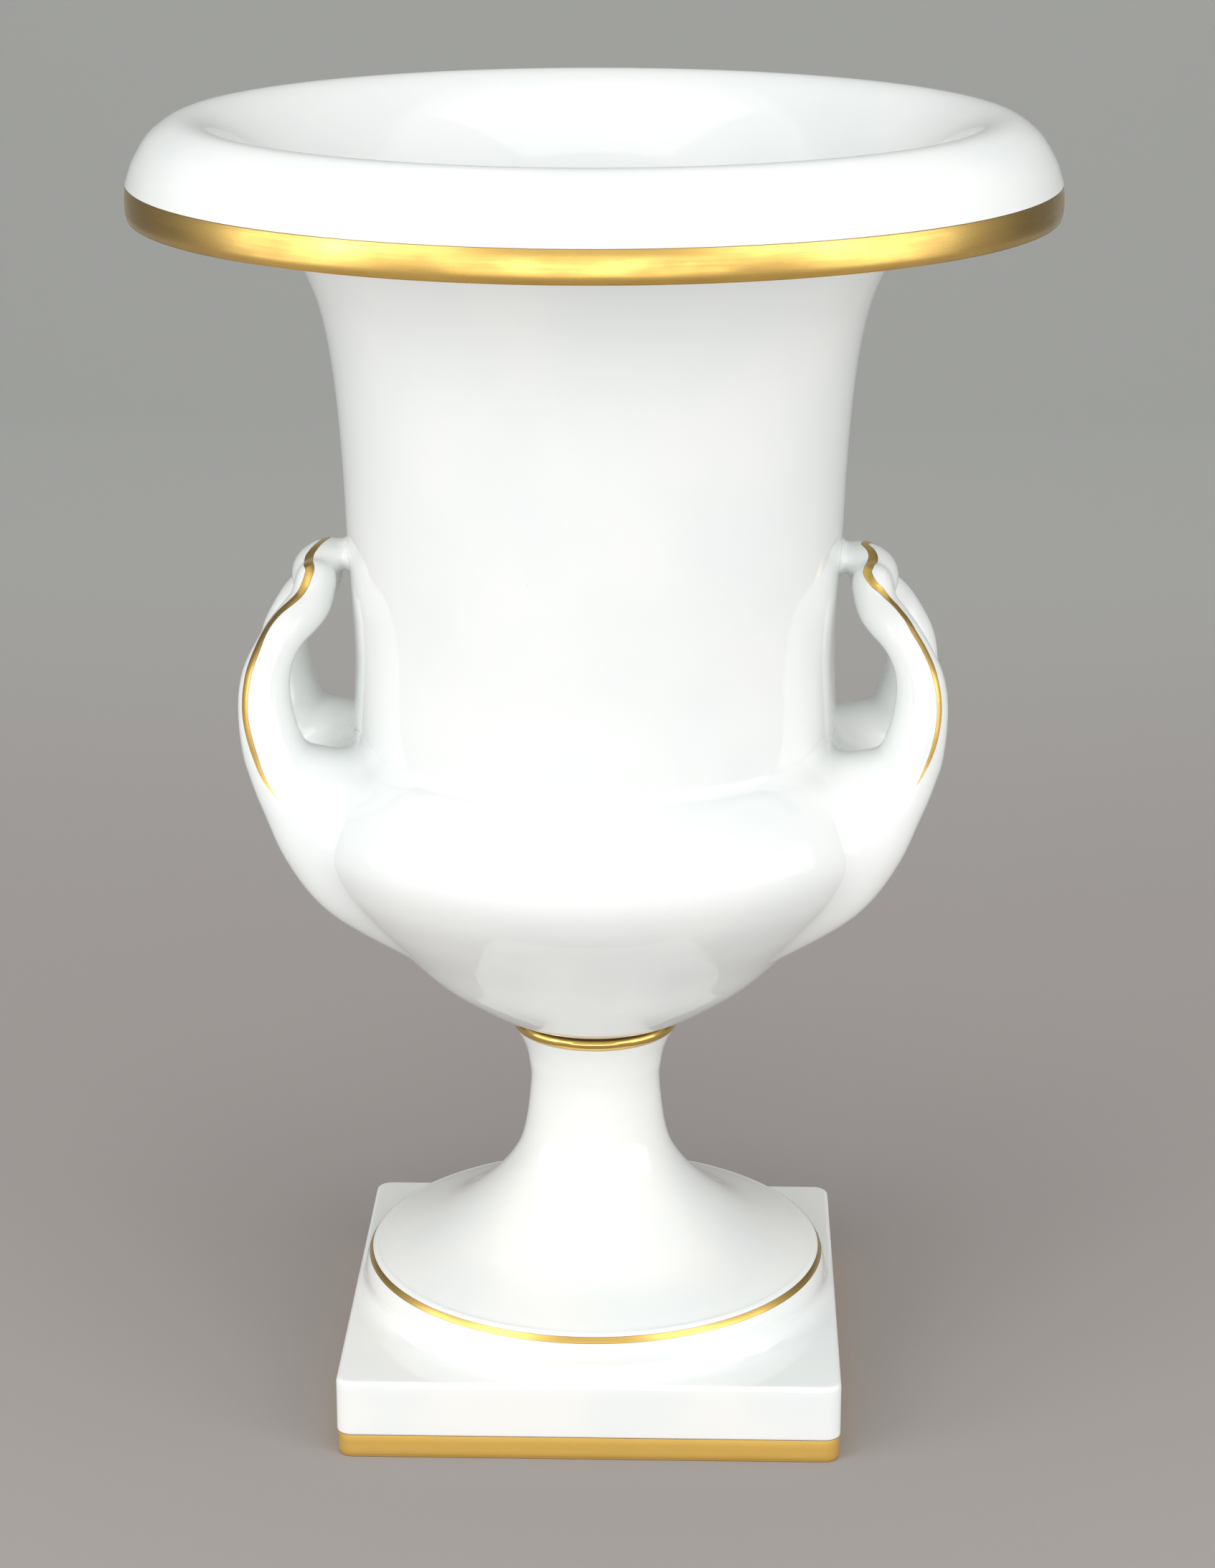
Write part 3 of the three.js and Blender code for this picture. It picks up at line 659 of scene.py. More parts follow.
def turned_metal():
    """Plain turned metal: fine rings, dull patches and a few dark scratches"""
    def build(w, given):
        place = w.place((1, 1, 1))
        rings = w.noise(w.place((90, 90, 2400)), 1.0, 3.0)
        patches = w.noise(place, 120.0, 3.0)
        tone = w.spread(w.math("ADD", w.math("MULTIPLY", rings, 0.5), w.math("MULTIPLY", patches, 0.5)), 0.3, 0.7)
        shown = w.mix(tone, given["Colour"], given["Dull"])
        rough = w.math("ADD", given["Roughness"], w.spread(patches, 0.3, 0.7, -0.06, 0.1))
        height = w.math("MULTIPLY", rings, 0.012)
        return {0: shown, 1: rough, 2: height}
    return effect(
        "Turned metal",
        {"Colour": (0.5, 0.5, 0.5, 1.0), "Dull": (0.3, 0.3, 0.3, 1.0), "Roughness": 0.35},
        {"Colour": tuple, "Roughness": float, "Height": float}, build)


def pressed_grain():
    """Packed granules or fibres of two tones"""
    def build(w, given):
        place = w.place()
        cells = w.add("ShaderNodeTexVoronoi", {"Vector": place, "Scale": given["Grains"]}, feature="F1")
        tint = w.add("ShaderNodeSeparateColor", {0: cells.outputs["Color"]}).outputs[0]
        fine = w.noise(place, 1400.0, 3.0)
        tone = w.math("ADD", w.math("MULTIPLY", tint, 0.6), w.math("MULTIPLY", fine, 0.4))
        shown = w.mix(tone, given["Light"], given["Dark"])
        height = w.math("ADD", w.math("MULTIPLY", cells.outputs["Distance"], -0.2), w.math("MULTIPLY", fine, 0.1))
        return {0: shown, 1: height}
    return effect(
        "Pressed grain",
        {"Light": (0.5, 0.3, 0.15, 1.0), "Dark": (0.3, 0.15, 0.08, 1.0), "Grains": 500.0},
        {"Colour": tuple, "Height": float}, build)


def solid(rgb, factor=1.0):
    return tuple(c * factor for c in rgb) + (1.0,)


def material(name, group, values, metallic=0.0, roughness=None, coat=0.0, depth=MM, strength=1.0, extra=None):
    """A material whose colour, gloss and bump come from one effect"""
    made = bpy.data.materials.get(name)
    if made:
        return made
    made = bpy.data.materials.new(name)
    made.use_nodes = True
    w = Wiring(made.node_tree)
    shader = made.node_tree.nodes["Principled BSDF"]
    shader.inputs["Metallic"].default_value = metallic
    node = w.add("ShaderNodeGroup", node_tree=group)
    for label, value in values.items():
        w.feed(node.inputs[label], value)
    colour_out = node.outputs["Colour"]
    rough_out = node.outputs["Roughness"] if "Roughness" in node.outputs else roughness
    if extra:
        colour_out, rough_out = extra(w, colour_out, rough_out)
    w.feed(shader.inputs["Base Color"], colour_out)
    w.feed(shader.inputs["Roughness"], rough_out)
    shader.inputs["Coat Weight"].default_value = coat
    shader.inputs["Coat Roughness"].default_value = 0.3
    bump = w.add("ShaderNodeBump", {"Height": node.outputs["Height"], "Strength": strength, "Distance": depth})
    w.feed(shader.inputs["Normal"], bump.outputs[0])
    return made


def porcelain(scene, name="Porcelain glaze", white=None, specks=0.07, extra=None):
    f = scene.krater_finishes
    values = {"Colour": solid(white or f.glaze), "Pooled": solid(f.pooled), "Speck Colour": solid(f.speck),
              "Specks": specks, "Roughness": f.gloss}
    return material(name, fired_glaze(), values, extra=extra)


def foot_porcelain(scene):
    """The glaze of the foot, wiped off under the standing rim"""
    f = scene.krater_finishes

    def wiped(w, colour_in, rough_in):
        height = w.add("ShaderNodeSeparateXYZ", {0: w.place()}).outputs["Z"]
        grain = w.noise(w.place(), 400.0, 2.0)
        line = w.math("ADD", height, w.math("MULTIPLY", grain, -0.0004))
        bare = w.spread(line, 0.0001, 0.0003, 1.0, 0.0)
        shown = w.mix(bare, colour_in, solid(f.biscuit))
        rough = w.math("ADD", rough_in, w.math("MULTIPLY", bare, 0.6))
        return shown, rough
    return porcelain(scene, "Foot glaze", f.foot_glaze, 0.08, wiped)


def gilding(scene, name, roughness=None, streaks=0.9, clouds=1.3, dust=0.3, edge=0.06, matt=0.42):
    f = scene.krater_finishes
    values = {"Gold": solid(f.gold), "Deep": solid(f.deep_gold), "Edge Colour": solid(f.gold_edge),
              "Roughness": f.satin if roughness is None else roughness,
              "Streaks": streaks, "Clouds": clouds, "Dust": dust, "Edge": edge, "Matt": matt}
    return material(name, worn_gilding(), values, metallic=1.0, coat=0.8)


def metal(scene, name, rgb, roughness):
    values = {"Colour": solid(rgb), "Dull": solid(rgb, 0.6), "Roughness": roughness}
    return material(name, turned_metal(), values, metallic=1.0)


def packed(scene, name, rgb, grains):
    values = {"Light": solid(rgb), "Dark": solid(rgb, 0.45), "Grains": grains}
    return material(name, pressed_grain(), values, roughness=0.9, strength=0.8)


# Pieces of the bowl and bell

def make_bell(p):
    lower, arc, upper = crease_round(p)
    seat = p.lip_radius - 0.4 - p.film
    flush = p.lip_radius - 0.45
    inside = spline([
        (flush, p.band_top),
        (p.flare(0.956), p.on_bell(0.937)),
        (p.flare(0.878), p.on_bell(0.975)),
        (p.flare(0.749), p.top - 0.12),
        (p.flare(0.593), p.on_bell(0.989)),
        (p.flare(0.399), p.on_bell(0.943)),
        (p.flare(0.251), p.on_bell(0.891)),
        (p.flare(0.155), p.on_bell(0.838)),
        (p.flare(0.085), p.on_bell(0.77)),
        (p.flare(0.030), p.on_bell(0.7)),
        (p.crease_radius + 5.4 - p.bell_wall, p.on_bell(0.604)),
        (p.crease_radius + 2.8 - p.bell_wall, p.on_bell(0.473)),
        (p.crease_radius + 1.3 - p.bell_wall, p.on_bell(0.324)),
        (p.crease_radius - 0.6 - p.bell_wall, p.on_bell(0.158)),
        (p.crease_radius - p.bell_wall, p.on_bell(0.053)),
        (p.crease_radius - p.bell_wall, arc[len(arc) // 2][1]),
    ], 150)
    rim = rounded([
        upper[-1],
        (p.lip_radius - p.lip_edge + 0.4, p.band_bottom, 2.6),
        (seat, p.band_bottom, 0.5),
        (seat, p.band_top - 0.1),
        (flush, p.band_top),
    ])[1:-1]
    return turned("flared_bell_glazed", arc[len(arc) // 2:] + upper + rim + inside)


def make_rim_gold(p):
    inner = p.lip_radius - 0.38 - p.film
    outer = p.lip_radius - 0.2
    low, high = p.band_bottom + 0.1, p.band_top - 0.14
    face = spline([
        (outer - 0.35, low + 0.5),
        (outer + 0.1, low + 2.6),
        (outer + 0.18, (low + high) / 2),
        (outer - 0.02, high - 2.4),
        (outer - 0.42, high - 0.2),
    ], 24)
    ring = [(inner, low), (outer - 0.75, low), (outer - 0.5, low + 0.12)] + face
    piece = turned("rim_gilding_band", ring + [(outer - 0.6, high), (inner, high)])
    mark_across(piece, lambda v: between(v.z, low, high))
    return piece


def make_bowl(p):
    lower, arc, upper = crease_round(p)
    seam = arc[len(arc) // 2]
    side = bowl_side(p)
    pad = p.cushion_radius + p.packing
    inside = [q for q in inwards(side, p.bowl_wall)
              if q[0] > pad + 4 and q[1] > p.floor_top + 1.2 and q[1] < p.crease - p.bowl_wall - 2]
    throat = p.crease_radius - p.bell_wall
    shoulder = spline([inside[-1], (throat + 1.8, p.crease - p.bowl_wall + 1.6), (throat, seam[1] - 0.8)], 10)
    outline = [(p.bore, p.bowl_base), (p.bowl_foot_radius - 0.5, p.bowl_base)]
    outline += [(p.bowl_foot_radius - 0.1, p.bowl_base + 0.12)] + lower[1:] + arc[:len(arc) // 2 + 1]
    outline += [(throat, seam[1])] + shoulder[:0:-1] + inside[::-1]
    outline += [(pad + 1.5, p.floor_top + 0.2), (pad, p.floor_top), (p.bore + 0.6, p.floor_top),
                (p.bore, p.floor_top - 0.6)]
    return turned("bowl_glazed", outline)


def make_collar(p):
    """The gilded bead and the recess over it. The bead's top and the recess take the edge's brown as painted shade
    under the bowl's foot
    """
    bead = (p.collar_height - p.collar_neck) / 2
    neck = p.collar_radius - bead * 0.9
    middle = p.stem_top + bead
    face = []
    for k in range(25):
        angle = math.pi * (k / 24 - 0.5)
        swell = math.copysign(abs(math.sin(angle)) ** 0.92, angle)
        face.append((neck + bead * 0.9 * math.cos(angle), middle + bead * swell))
    outline = [(p.collar_bore, p.stem_top)] + face + [(neck - 0.1, p.bowl_base - 0.6), (neck - 0.1, p.bowl_base)]
    outline.append((p.collar_bore, p.bowl_base))
    piece = turned("gilt_collar_bead", outline)
    # Above the bead's middle the mark falls to 0, so the brown painted shade covers the bead's top and the recess
    mark_across(piece, lambda v: between(v.z, p.stem_top, p.stem_top + 1.8 * bead))
    return piece


# The foot

CORNER_STEPS = 8
SIDE_STEPS = 40


def square_ring(half, corner, z):
    """A square with round corners, as points that match from ring to ring"""
    straight = half - corner
    made = []
    for quarter in range(4):
        turn = Matrix.Rotation(quarter * math.pi / 2, 2)
        for k in range(CORNER_STEPS):
            angle = math.pi / 2 * k / CORNER_STEPS
            made.append(turn @ Vector((straight + corner * math.cos(angle), straight + corner * math.sin(angle))))
        for k in range(SIDE_STEPS):
            made.append(turn @ Vector((straight * (1 - 2 * k / SIDE_STEPS), half)))
    return [(v.x, v.y, z) for v in made]


def round_ring(bearings, radius, z):
    return [(radius * math.cos(a), radius * math.sin(a), z) for a in bearings]


def blend_ring(a, b, part):
    return [tuple(Vector(u).lerp(Vector(v), part)) for u, v in zip(a, b)]


def make_foot(p):
    half = p.plinth_side / 2
    edge = p.plinth_edge
    outer = square_ring(half, p.plinth_corner, 0)
    bearings = [math.atan2(y, x) for x, y, _ in outer]
    line_low, line_high, stem = stem_side(p)
    seat = p.film / 2
    tilt = (math.sin(p.line_tilt) * seat, math.cos(p.line_tilt) * seat)
    skirt = [(p.disc_radius + 0.05, p.plinth_height + 6.4), (p.disc_radius + 0.35, p.plinth_height + 4.4),
             (p.disc_radius + 1, p.plinth_height + 2.7), (p.disc_radius + 2.1, p.plinth_height + 1.3),
             (p.disc_radius + 3.8, p.plinth_height + 0.4), (p.disc_radius + 6.4, p.plinth_height)]
    skirt = spline(skirt, 30)

    def surface(x, y, inset):
        """Height of the plinth's top: the skirt's slope, and the round near the edge"""
        r = math.hypot(x, y)
        slope = p.plinth_height
        for (r0, z0), (r1, z1) in zip(skirt, skirt[1:]):
            if r0 <= r < r1:
                slope = z0 + (z1 - z0) * (r - r0) / (r1 - r0)
        drop = edge - math.sqrt(max(edge**2 - max(edge - inset, 0) ** 2, 0))
        return slope - drop

    def circles(points):
        return [round_ring(bearings, r, z) for r, z in points]

    rings = circles([(p.bore, p.stem_top), (p.collar_radius - 1.4, p.stem_top),
                     (p.collar_radius - 1.18, p.stem_top - 0.12)])
    rings += circles([q for q in stem[::-1][1:-1]])
    rings += circles([line_high, (line_high[0] - tilt[0], line_high[1] - tilt[1]),
                      (line_low[0] - tilt[0], line_low[1] - tilt[1]), line_low])
    disc = spline([
        line_low,
        (p.disc_radius - 0.75, p.plinth_height + 12.0),
        (p.disc_radius - 0.25, p.plinth_height + 9.9),
        (p.disc_radius, p.plinth_height + 8.0),
        skirt[0],
        skirt[5],
    ], 25)
    rings += circles(disc[1:])
    shoulder = round_ring(bearings, skirt[5][0], skirt[5][1])
    insets = [edge, 1.45, 1.05, 0.65, 0.35, 0.12, 0.0]
    first = square_ring(half - edge, max(p.plinth_corner - edge, 1.5), 0)
    for part in (0.06, 0.14, 0.24, 0.35, 0.46, 0.57, 0.68, 0.78, 0.86, 0.93):
        flat = blend_ring(shoulder, first, part)
        rings.append([(x, y, surface(x, y, edge)) for x, y, _ in flat])
    for inset in insets:
        flat = square_ring(half - inset, max(p.plinth_corner - inset, 1.5), 0)
        rings.append([(x, y, surface(x, y, inset)) for x, y, _ in flat])

    def squares(points):
        return [square_ring(half - inset, max(p.plinth_corner - inset, 1.5), z) for inset, z in points]

    band = p.plinth_band
    rings += squares([(0, 25), (0, 20), (0, 15), (0, band + 1.1), (0.02, band + 0.75), (0.12, band + 0.45),
                      (0.3, band + 0.3), (0.7, band + 0.25), (0.7, 6), (0.7, 3), (0.7, 1.5), (0.85, 0.85),
                      (1.2, 0.35), (1.7, 0.08), (2.2, 0)])
    wall = p.plinth_wall
    rings += squares([(wall - 1.2, 0), (wall - 0.5, 0.15), (wall - 0.12, 0.5), (wall, 1.2), (wall, 8), (wall, 16),
                      (wall, p.ledge - 2), (wall + 0.6, p.ledge - 0.6), (wall + 2, p.ledge)])
    tray = rings[-1]
    ledge = round_ring(bearings, p.ledge_bore + 1, p.ledge)
    rings += [blend_ring(tray, ledge, part) for part in (0.3, 0.6, 0.85)] + [ledge]
    core = p.stem_waist - p.foot_wall
    web = p.stem_top - p.foot_web
    hollow = spline([
        (p.ledge_bore, p.ledge + 1),
        (p.ledge_bore, p.on_stem(-0.028)),
        (p.ledge_bore - 9, p.on_stem(0.086)),
        (core + 13.8, p.on_stem(0.233)),
        (core + 6, p.on_stem(0.386)),
        (core + 1, p.on_stem(0.581)),
        (core, web - 3),
    ], 30)
    rings += circles(hollow + [(core - 1, web - 0.8), (core - 3, web), (p.bore + 0.5, web), (p.bore, web + 0.5)])
    rings.append(rings[0])
    return close_mesh(lofted("foot_and_plinth_glazed", rings, closed=True))


def make_foot_line(p):
    low, high, _ = stem_side(p)
    seat = p.film / 2

    def lifted(point, lift):
        return (point[0] + lift * math.sin(p.line_tilt), point[1] + lift * math.cos(p.line_tilt))
    low = (low[0] - 0.06, low[1] + 0.03)
    high = (high[0] + 0.06, high[1] - 0.03)
    middle = ((low[0] + high[0]) / 2, (low[1] + high[1]) / 2)
    face = spline([lifted(low, 0.0), lifted(middle, 0.09), lifted(high, 0.0)], 8)
    piece = turned("foot_line_film", [lifted(low, 0.03 - seat)] + face + [lifted(high, 0.03 - seat)])
    mark_across(piece, lambda v: between(v.z, low[1], high[1]))
    return piece


def make_plinth_gold(p):
    """The band round the plinth. Its lowest millimetre takes the edge's brown as painted contact shade along the
    table
    """
    half = p.plinth_side / 2
    band = p.plinth_band
    profile = [(0.68, 0.1), (0.68, 3), (0.68, 6), (0.68, band + 0.05), (0.44, band + 0.05), (0.4, band - 0.1),
               (0.4, 6), (0.4, 3), (0.4, 1.6), (0.52, 0.95), (0.85, 0.42), (1.35, 0.12), (1.9, 0.02), (1.9, 0.3)]
    rings = [square_ring(half - inset, max(p.plinth_corner - inset, 1.5), z) for inset, z in profile]
    rings.append(rings[0])
    piece = close_mesh(lofted("plinth_gilding_band", rings, closed=True))
    # The z / 30 term brings the mark to 0 near the bottom, which paints the contact shade in the edge's brown
    mark_across(piece, lambda v: min(v.z / 30, between(v.z, -1.0, band + 0.05)))
    return piece


# The handles

LIMB_SIDES = 28


def limb(name, stations, spread, count):
    """A round bar with domed ends through stations of: place out, share of the spread, height,
    half thickness and half width"""
    path = spline(stations, count)
    rings = []

    def ring(k, shift, part):
        x, y, z, thick, wide = path[k]
        centre = Vector((x, y * spread, z))
        a, b = path[max(k - 1, 0)], path[min(k + 1, count)]
        along = Vector((b[0] - a[0], (b[1] - a[1]) * spread, b[2] - a[2])).normalized()
        across = (Vector((0, 1, 0)) - along * along.y).normalized()
        outward = across.cross(along)
        centre += along * shift * thick
        made = []
        for j in range(LIMB_SIDES):
            angle = math.tau * j / LIMB_SIDES
            made.append(tuple(centre + outward * (thick * part * math.cos(angle))
                              + across * (wide * part * math.sin(angle))))
        return made
    domes = [math.radians(a) for a in (90, 72, 54, 36, 18)]
    rings += [ring(0, -math.sin(a), math.cos(a) if a < 1.57 else 0) for a in domes]
    rings += [ring(k, 0, 1) for k in range(count + 1)]
    rings += [ring(count, math.sin(a), math.cos(a) if a < 1.57 else 0) for a in reversed(domes)]
    return close_mesh(lofted(name, rings, closed=True))


def arm(p, side):
    """An arm from deep in the bowl up to its free rounded end, the knuckle"""
    half = p.arm_thickness / 2
    wide = p.arm_width / 2
    x = p.crease_radius + p.grip_width + half
    rows = [
        (x - 18.9, 0.42, p.on_handle(0.823), 0.78, 0.78),
        (x - 16.9, 0.53, p.on_handle(0.721), 0.8, 0.84),
        (x - 13.1, 0.68, p.on_handle(0.664), 0.81, 0.86),
        (x - 8.5, 0.82, p.on_handle(0.6), 0.77, 0.87),
        (x - 4.2, 0.89, p.on_handle(0.5), 0.8, 0.92),
        (x - 1.5, 0.94, p.on_handle(0.392), 0.91, 0.96),
        (x - 0.9, 0.97, p.on_handle(0.267), 1, 1),
        (x - 2.2, 1, p.on_handle(0.128), 1.1, 1.08),
        (x - 4.8, 1.02, p.on_handle(0.007), 1.2, 1.18),
        (p.bowl_radius - 0.4, 1.06, p.on_bowl(0.075), 1.34, 1.35),
        (p.bowl_radius - 5.8, 1.12, p.on_bowl(0.15), 1.5, 1.55),
        (p.bowl_radius - 13.3, 1.18, p.on_bowl(0.268), 1.66, 1.7),
        (p.bowl_radius - 24.3, 1.16, p.on_bowl(0.413), 1.6, 1.66),
        (p.bowl_radius - 43.3, 0.98, p.on_bowl(0.567), 1.4, 1.4),
    ]
    stations = [(a, b, c, d * half, e * wide) for a, b, c, d, e in rows]
    return limb("arm", stations, side * p.arm_spread, 64)


def root(p, side):
    """The saddle that runs from an arm's foot to the crease"""
    half = p.arm_thickness / 2
    wide = p.arm_width / 2
    x = p.crease_radius + p.grip_width + half
    rows = [
        (x - 1, 0.97, p.on_handle(0.15), 1, 1),
        (x - 4.7, 1, p.on_bowl(0.005), 1.2, 1.2),
        (x - 12, 1.01, p.on_bowl(0.072), 1.36, 1.42),
        (p.crease_radius + 7.8, 0.98, p.on_bowl(0.103), 1.42, 1.55),
        (p.crease_radius - 5.2, 0.92, p.on_bowl(0.12), 1.46, 1.5),
    ]
    stations = [(a, b, c, d * half, e * wide) for a, b, c, d, e in rows]
    return limb("root", stations, side * p.arm_spread, 24)


def neck(p):
    """The crown that rises between the two knuckles and bends over to the bell"""
    half = p.arm_thickness / 2
    wide = p.arm_width / 2
    x = p.crease_radius + p.grip_width + half
    rows = [
        (x - 15.6, 0, p.on_handle(0.695), 0.45, 0.9),
        (x - 16.2, 0, p.on_handle(0.755), 0.78, 1.38),
        (x - 18, 0, p.on_handle(0.828), 0.95, 1.5),
        (x - 22.2, 0, p.on_handle(0.89), 0.76, 1.16),
        (p.crease_radius + 3.4, 0, p.on_handle(0.91), 0.53, 0.85),
        (p.crease_radius - 0.7, 0, p.on_handle(0.912), 0.47, 0.8),
        (p.crease_radius - 5.2, 0, p.on_handle(0.912), 0.47, 0.8),
    ]
    stations = [(a, b, c, d * half, e * wide) for a, b, c, d, e in rows]
    return limb("neck", stations, 0, 30)


def lobe(p):
    """A low swelling on the bowl that feathers out at its edge and rises round the arms. Rows: height,
    share of the reach, share of the relief, and how far it fills the corner beside an arm"""
    rows = spline([
        (p.on_bowl(0.67), 0.42, 0.05, 0),
        (p.on_bowl(0.607), 0.56, 0.4, 0),
        (p.on_bowl(0.543), 0.7, 0.62, 0.3),
        (p.on_bowl(0.48), 0.82, 0.72, 0.8),
        (p.on_bowl(0.408), 0.93, 0.78, 1.6),
        (p.on_bowl(0.317), 1, 0.9, 2.8),
        (p.on_bowl(0.236), 1.02, 0.95, 4.4),
        (p.on_bowl(0.163), 1.02, 0.9, 6.6),
        (p.on_bowl(0.1), 1, 0.7, 8),
        (p.on_bowl(0.045), 0.98, 0.4, 7.5),
    ], 45)
    radius = radius_finder(bowl_side(p))
    front, back, depth = 72, 20, 7
    flank, wide = 1.11 * p.arm_spread, 0.49 * p.arm_spread

    def section(z, reach, relief, fill):
        r = radius(z)
        half = math.asin(min(p.lobe_half * reach / r, 0.92))
        edge = 1.3 + 0.9 * ramp(z, p.on_bowl(0.08), p.on_bowl(0.26))
        made = []
        for j in range(front + 1):
            t = 2 * j / front - 1
            y = abs(r * math.sin(half * t))
            swell = p.lobe_relief * relief * (1 - abs(t) ** 2.4) ** edge
            swell += fill * math.exp(-((y - flank) / wide) ** 2) * (1 - t**4) ** 2
            far = r - 1 + swell + 1 - t**8
            made.append((far * math.cos(half * t), far * math.sin(half * t), z))
        for j in range(1, back):
            t = 1 - 2 * j / back
            made.append(((r - depth) * math.cos(half * t), (r - depth) * math.sin(half * t), z))
        return made
    rings = [section(*row) for row in rows]
    for end, place in ((rings[0], 0), (rings[-1], len(rings) + 1)):
        centre = sum((Vector(q) for q in end), Vector()) / len(end)
        rings.insert(place, [tuple(centre)] * len(end))
    return close_mesh(lofted("lobe", rings, closed=True))


def vessel_block(p):
    """The part of the bowl and bell that a handle grows out of"""
    side = skin(p)
    low, high = p.on_bowl(0.74), p.on_bell(0.37)
    outline = [q for q in side if low < q[1] < high]
    outline = [(20, outline[0][1])] + outline + [(20, outline[-1][1])]
    piece = turned("vessel_block", outline)
    for co, no in (((0.045, 0, 0), (-1, 0, 0)), ((0, 0.092, 0), (0, 1, 0)), ((0, -0.092, 0), (0, -1, 0))):
        edit(piece)
        bpy.ops.mesh.bisect(plane_co=co, plane_no=no, use_fill=True, clear_outer=True)
    bpy.ops.object.mode_set(mode="OBJECT")
    return close_mesh(piece)


def soften(piece, voxel, iterations, weigh):
    """Remeshes into even cells and smooths by a weight for each place"""
    apply(piece, "REMESH", mode="VOXEL", voxel_size=voxel * MM, use_smooth_shade=True)
    group = piece.vertex_groups.new(name="soft")
    for vertex in piece.data.vertices:
        weight = weigh(vertex.co)
        if weight > 0:
            group.add([vertex.index], weight, "REPLACE")
    apply(piece, "SMOOTH", factor=0.5, iterations=iterations, vertex_group="soft")
    piece.vertex_groups.clear()


def make_handle(p):
    """Limbs and lobe grown together with the vessel's side, softened where they meet it, and cut free"""
    limbs = join("limbs", [arm(p, -1), arm(p, 1), root(p, -1), root(p, 1), neck(p), lobe(p)])
    limb_tree = surface_of(limbs)
    radius = radius_finder(skin(p))
    piece = join("right_handle_glazed", [limbs, vessel_block(p)])

    def proud(co):
        return (math.hypot(co.x, co.y) / MM) - radius(co.z / MM)

    def apart(co):
        return limb_tree.find_nearest(co)[3] / MM

    def z(co):
        return co.z / MM

    def broad(co):
        return ramp(proud(co), 4, 17) * ramp(co.z / MM, p.crease - 1, p.crease + 7) * ramp(apart(co), 3, 9)

    def fine(co):
        low = ramp(co.z / MM, p.on_handle(0.2), p.on_handle(0.55))
        crisp = 1 - 0.85 * ramp(z(co), p.on_handle(0.8), p.on_handle(0.7)) * ramp(abs(proud(co)), 0, 4)
        return ramp(apart(co), 4, 9) * (0.36 + 0.64 * low * ramp(abs(proud(co)), 0, 13)) * crisp

    soften(piece, 1.5, 90, broad)
    soften(piece, 0.95, 34, fine)
    for vertex in piece.data.vertices:
        joint = ramp(z(vertex.co), p.on_handle(0.78), p.on_handle(0.68))
        sunk = 0.4 * ramp(apart(vertex.co), 13 - 9 * joint, 4 - 2.6 * joint)
        flat = Vector((vertex.co.x, vertex.co.y, 0))
        if sunk > 0 and flat.length > 0.05:
            vertex.co -= flat.normalized() * sunk * MM
    low, high = p.on_bowl(0.78), p.on_bell(0.4)
    block = turned("vessel_cutter", [(0, low)] + [q for q in skin(p, 0.03) if low < q[1] < high] + [(0, high)])
    apply(piece, "BOOLEAN", operation="DIFFERENCE", solver="EXACT", object=block)
    remove(block)
    edit(piece)
    bpy.ops.mesh.separate(type="LOOSE")
    bpy.ops.object.mode_set(mode="OBJECT")
    parts = sorted(bpy.context.selected_objects, key=lambda o: len(o.data.vertices))
    for other in parts[:-1]:
        remove(other)
    piece = parts[-1]
    piece.name = "right_handle_glazed"
    piece.data.name = piece.name
    edit(piece)
    bpy.ops.mesh.remove_doubles(threshold=MERGE)
    bpy.ops.mesh.normals_make_consistent(inside=False)
    bpy.ops.object.mode_set(mode="OBJECT")
    bpy.ops.object.shade_smooth_by_angle(angle=math.radians(50))
    return piece


def half_turned(piece, name):
    """A copy with its own mesh, turned half a turn about the vase's axis"""
    only(piece)
    bpy.ops.object.duplicate(linked=False)
    copy = named(name)
    bpy.ops.object.mode_set(mode="EDIT")
    bpy.ops.mesh.select_all(action="SELECT")
    bpy.ops.transform.rotate(value=math.pi, orient_axis="Z", center_override=(0, 0, 0))
    bpy.ops.object.mode_set(mode="OBJECT")
    return copy


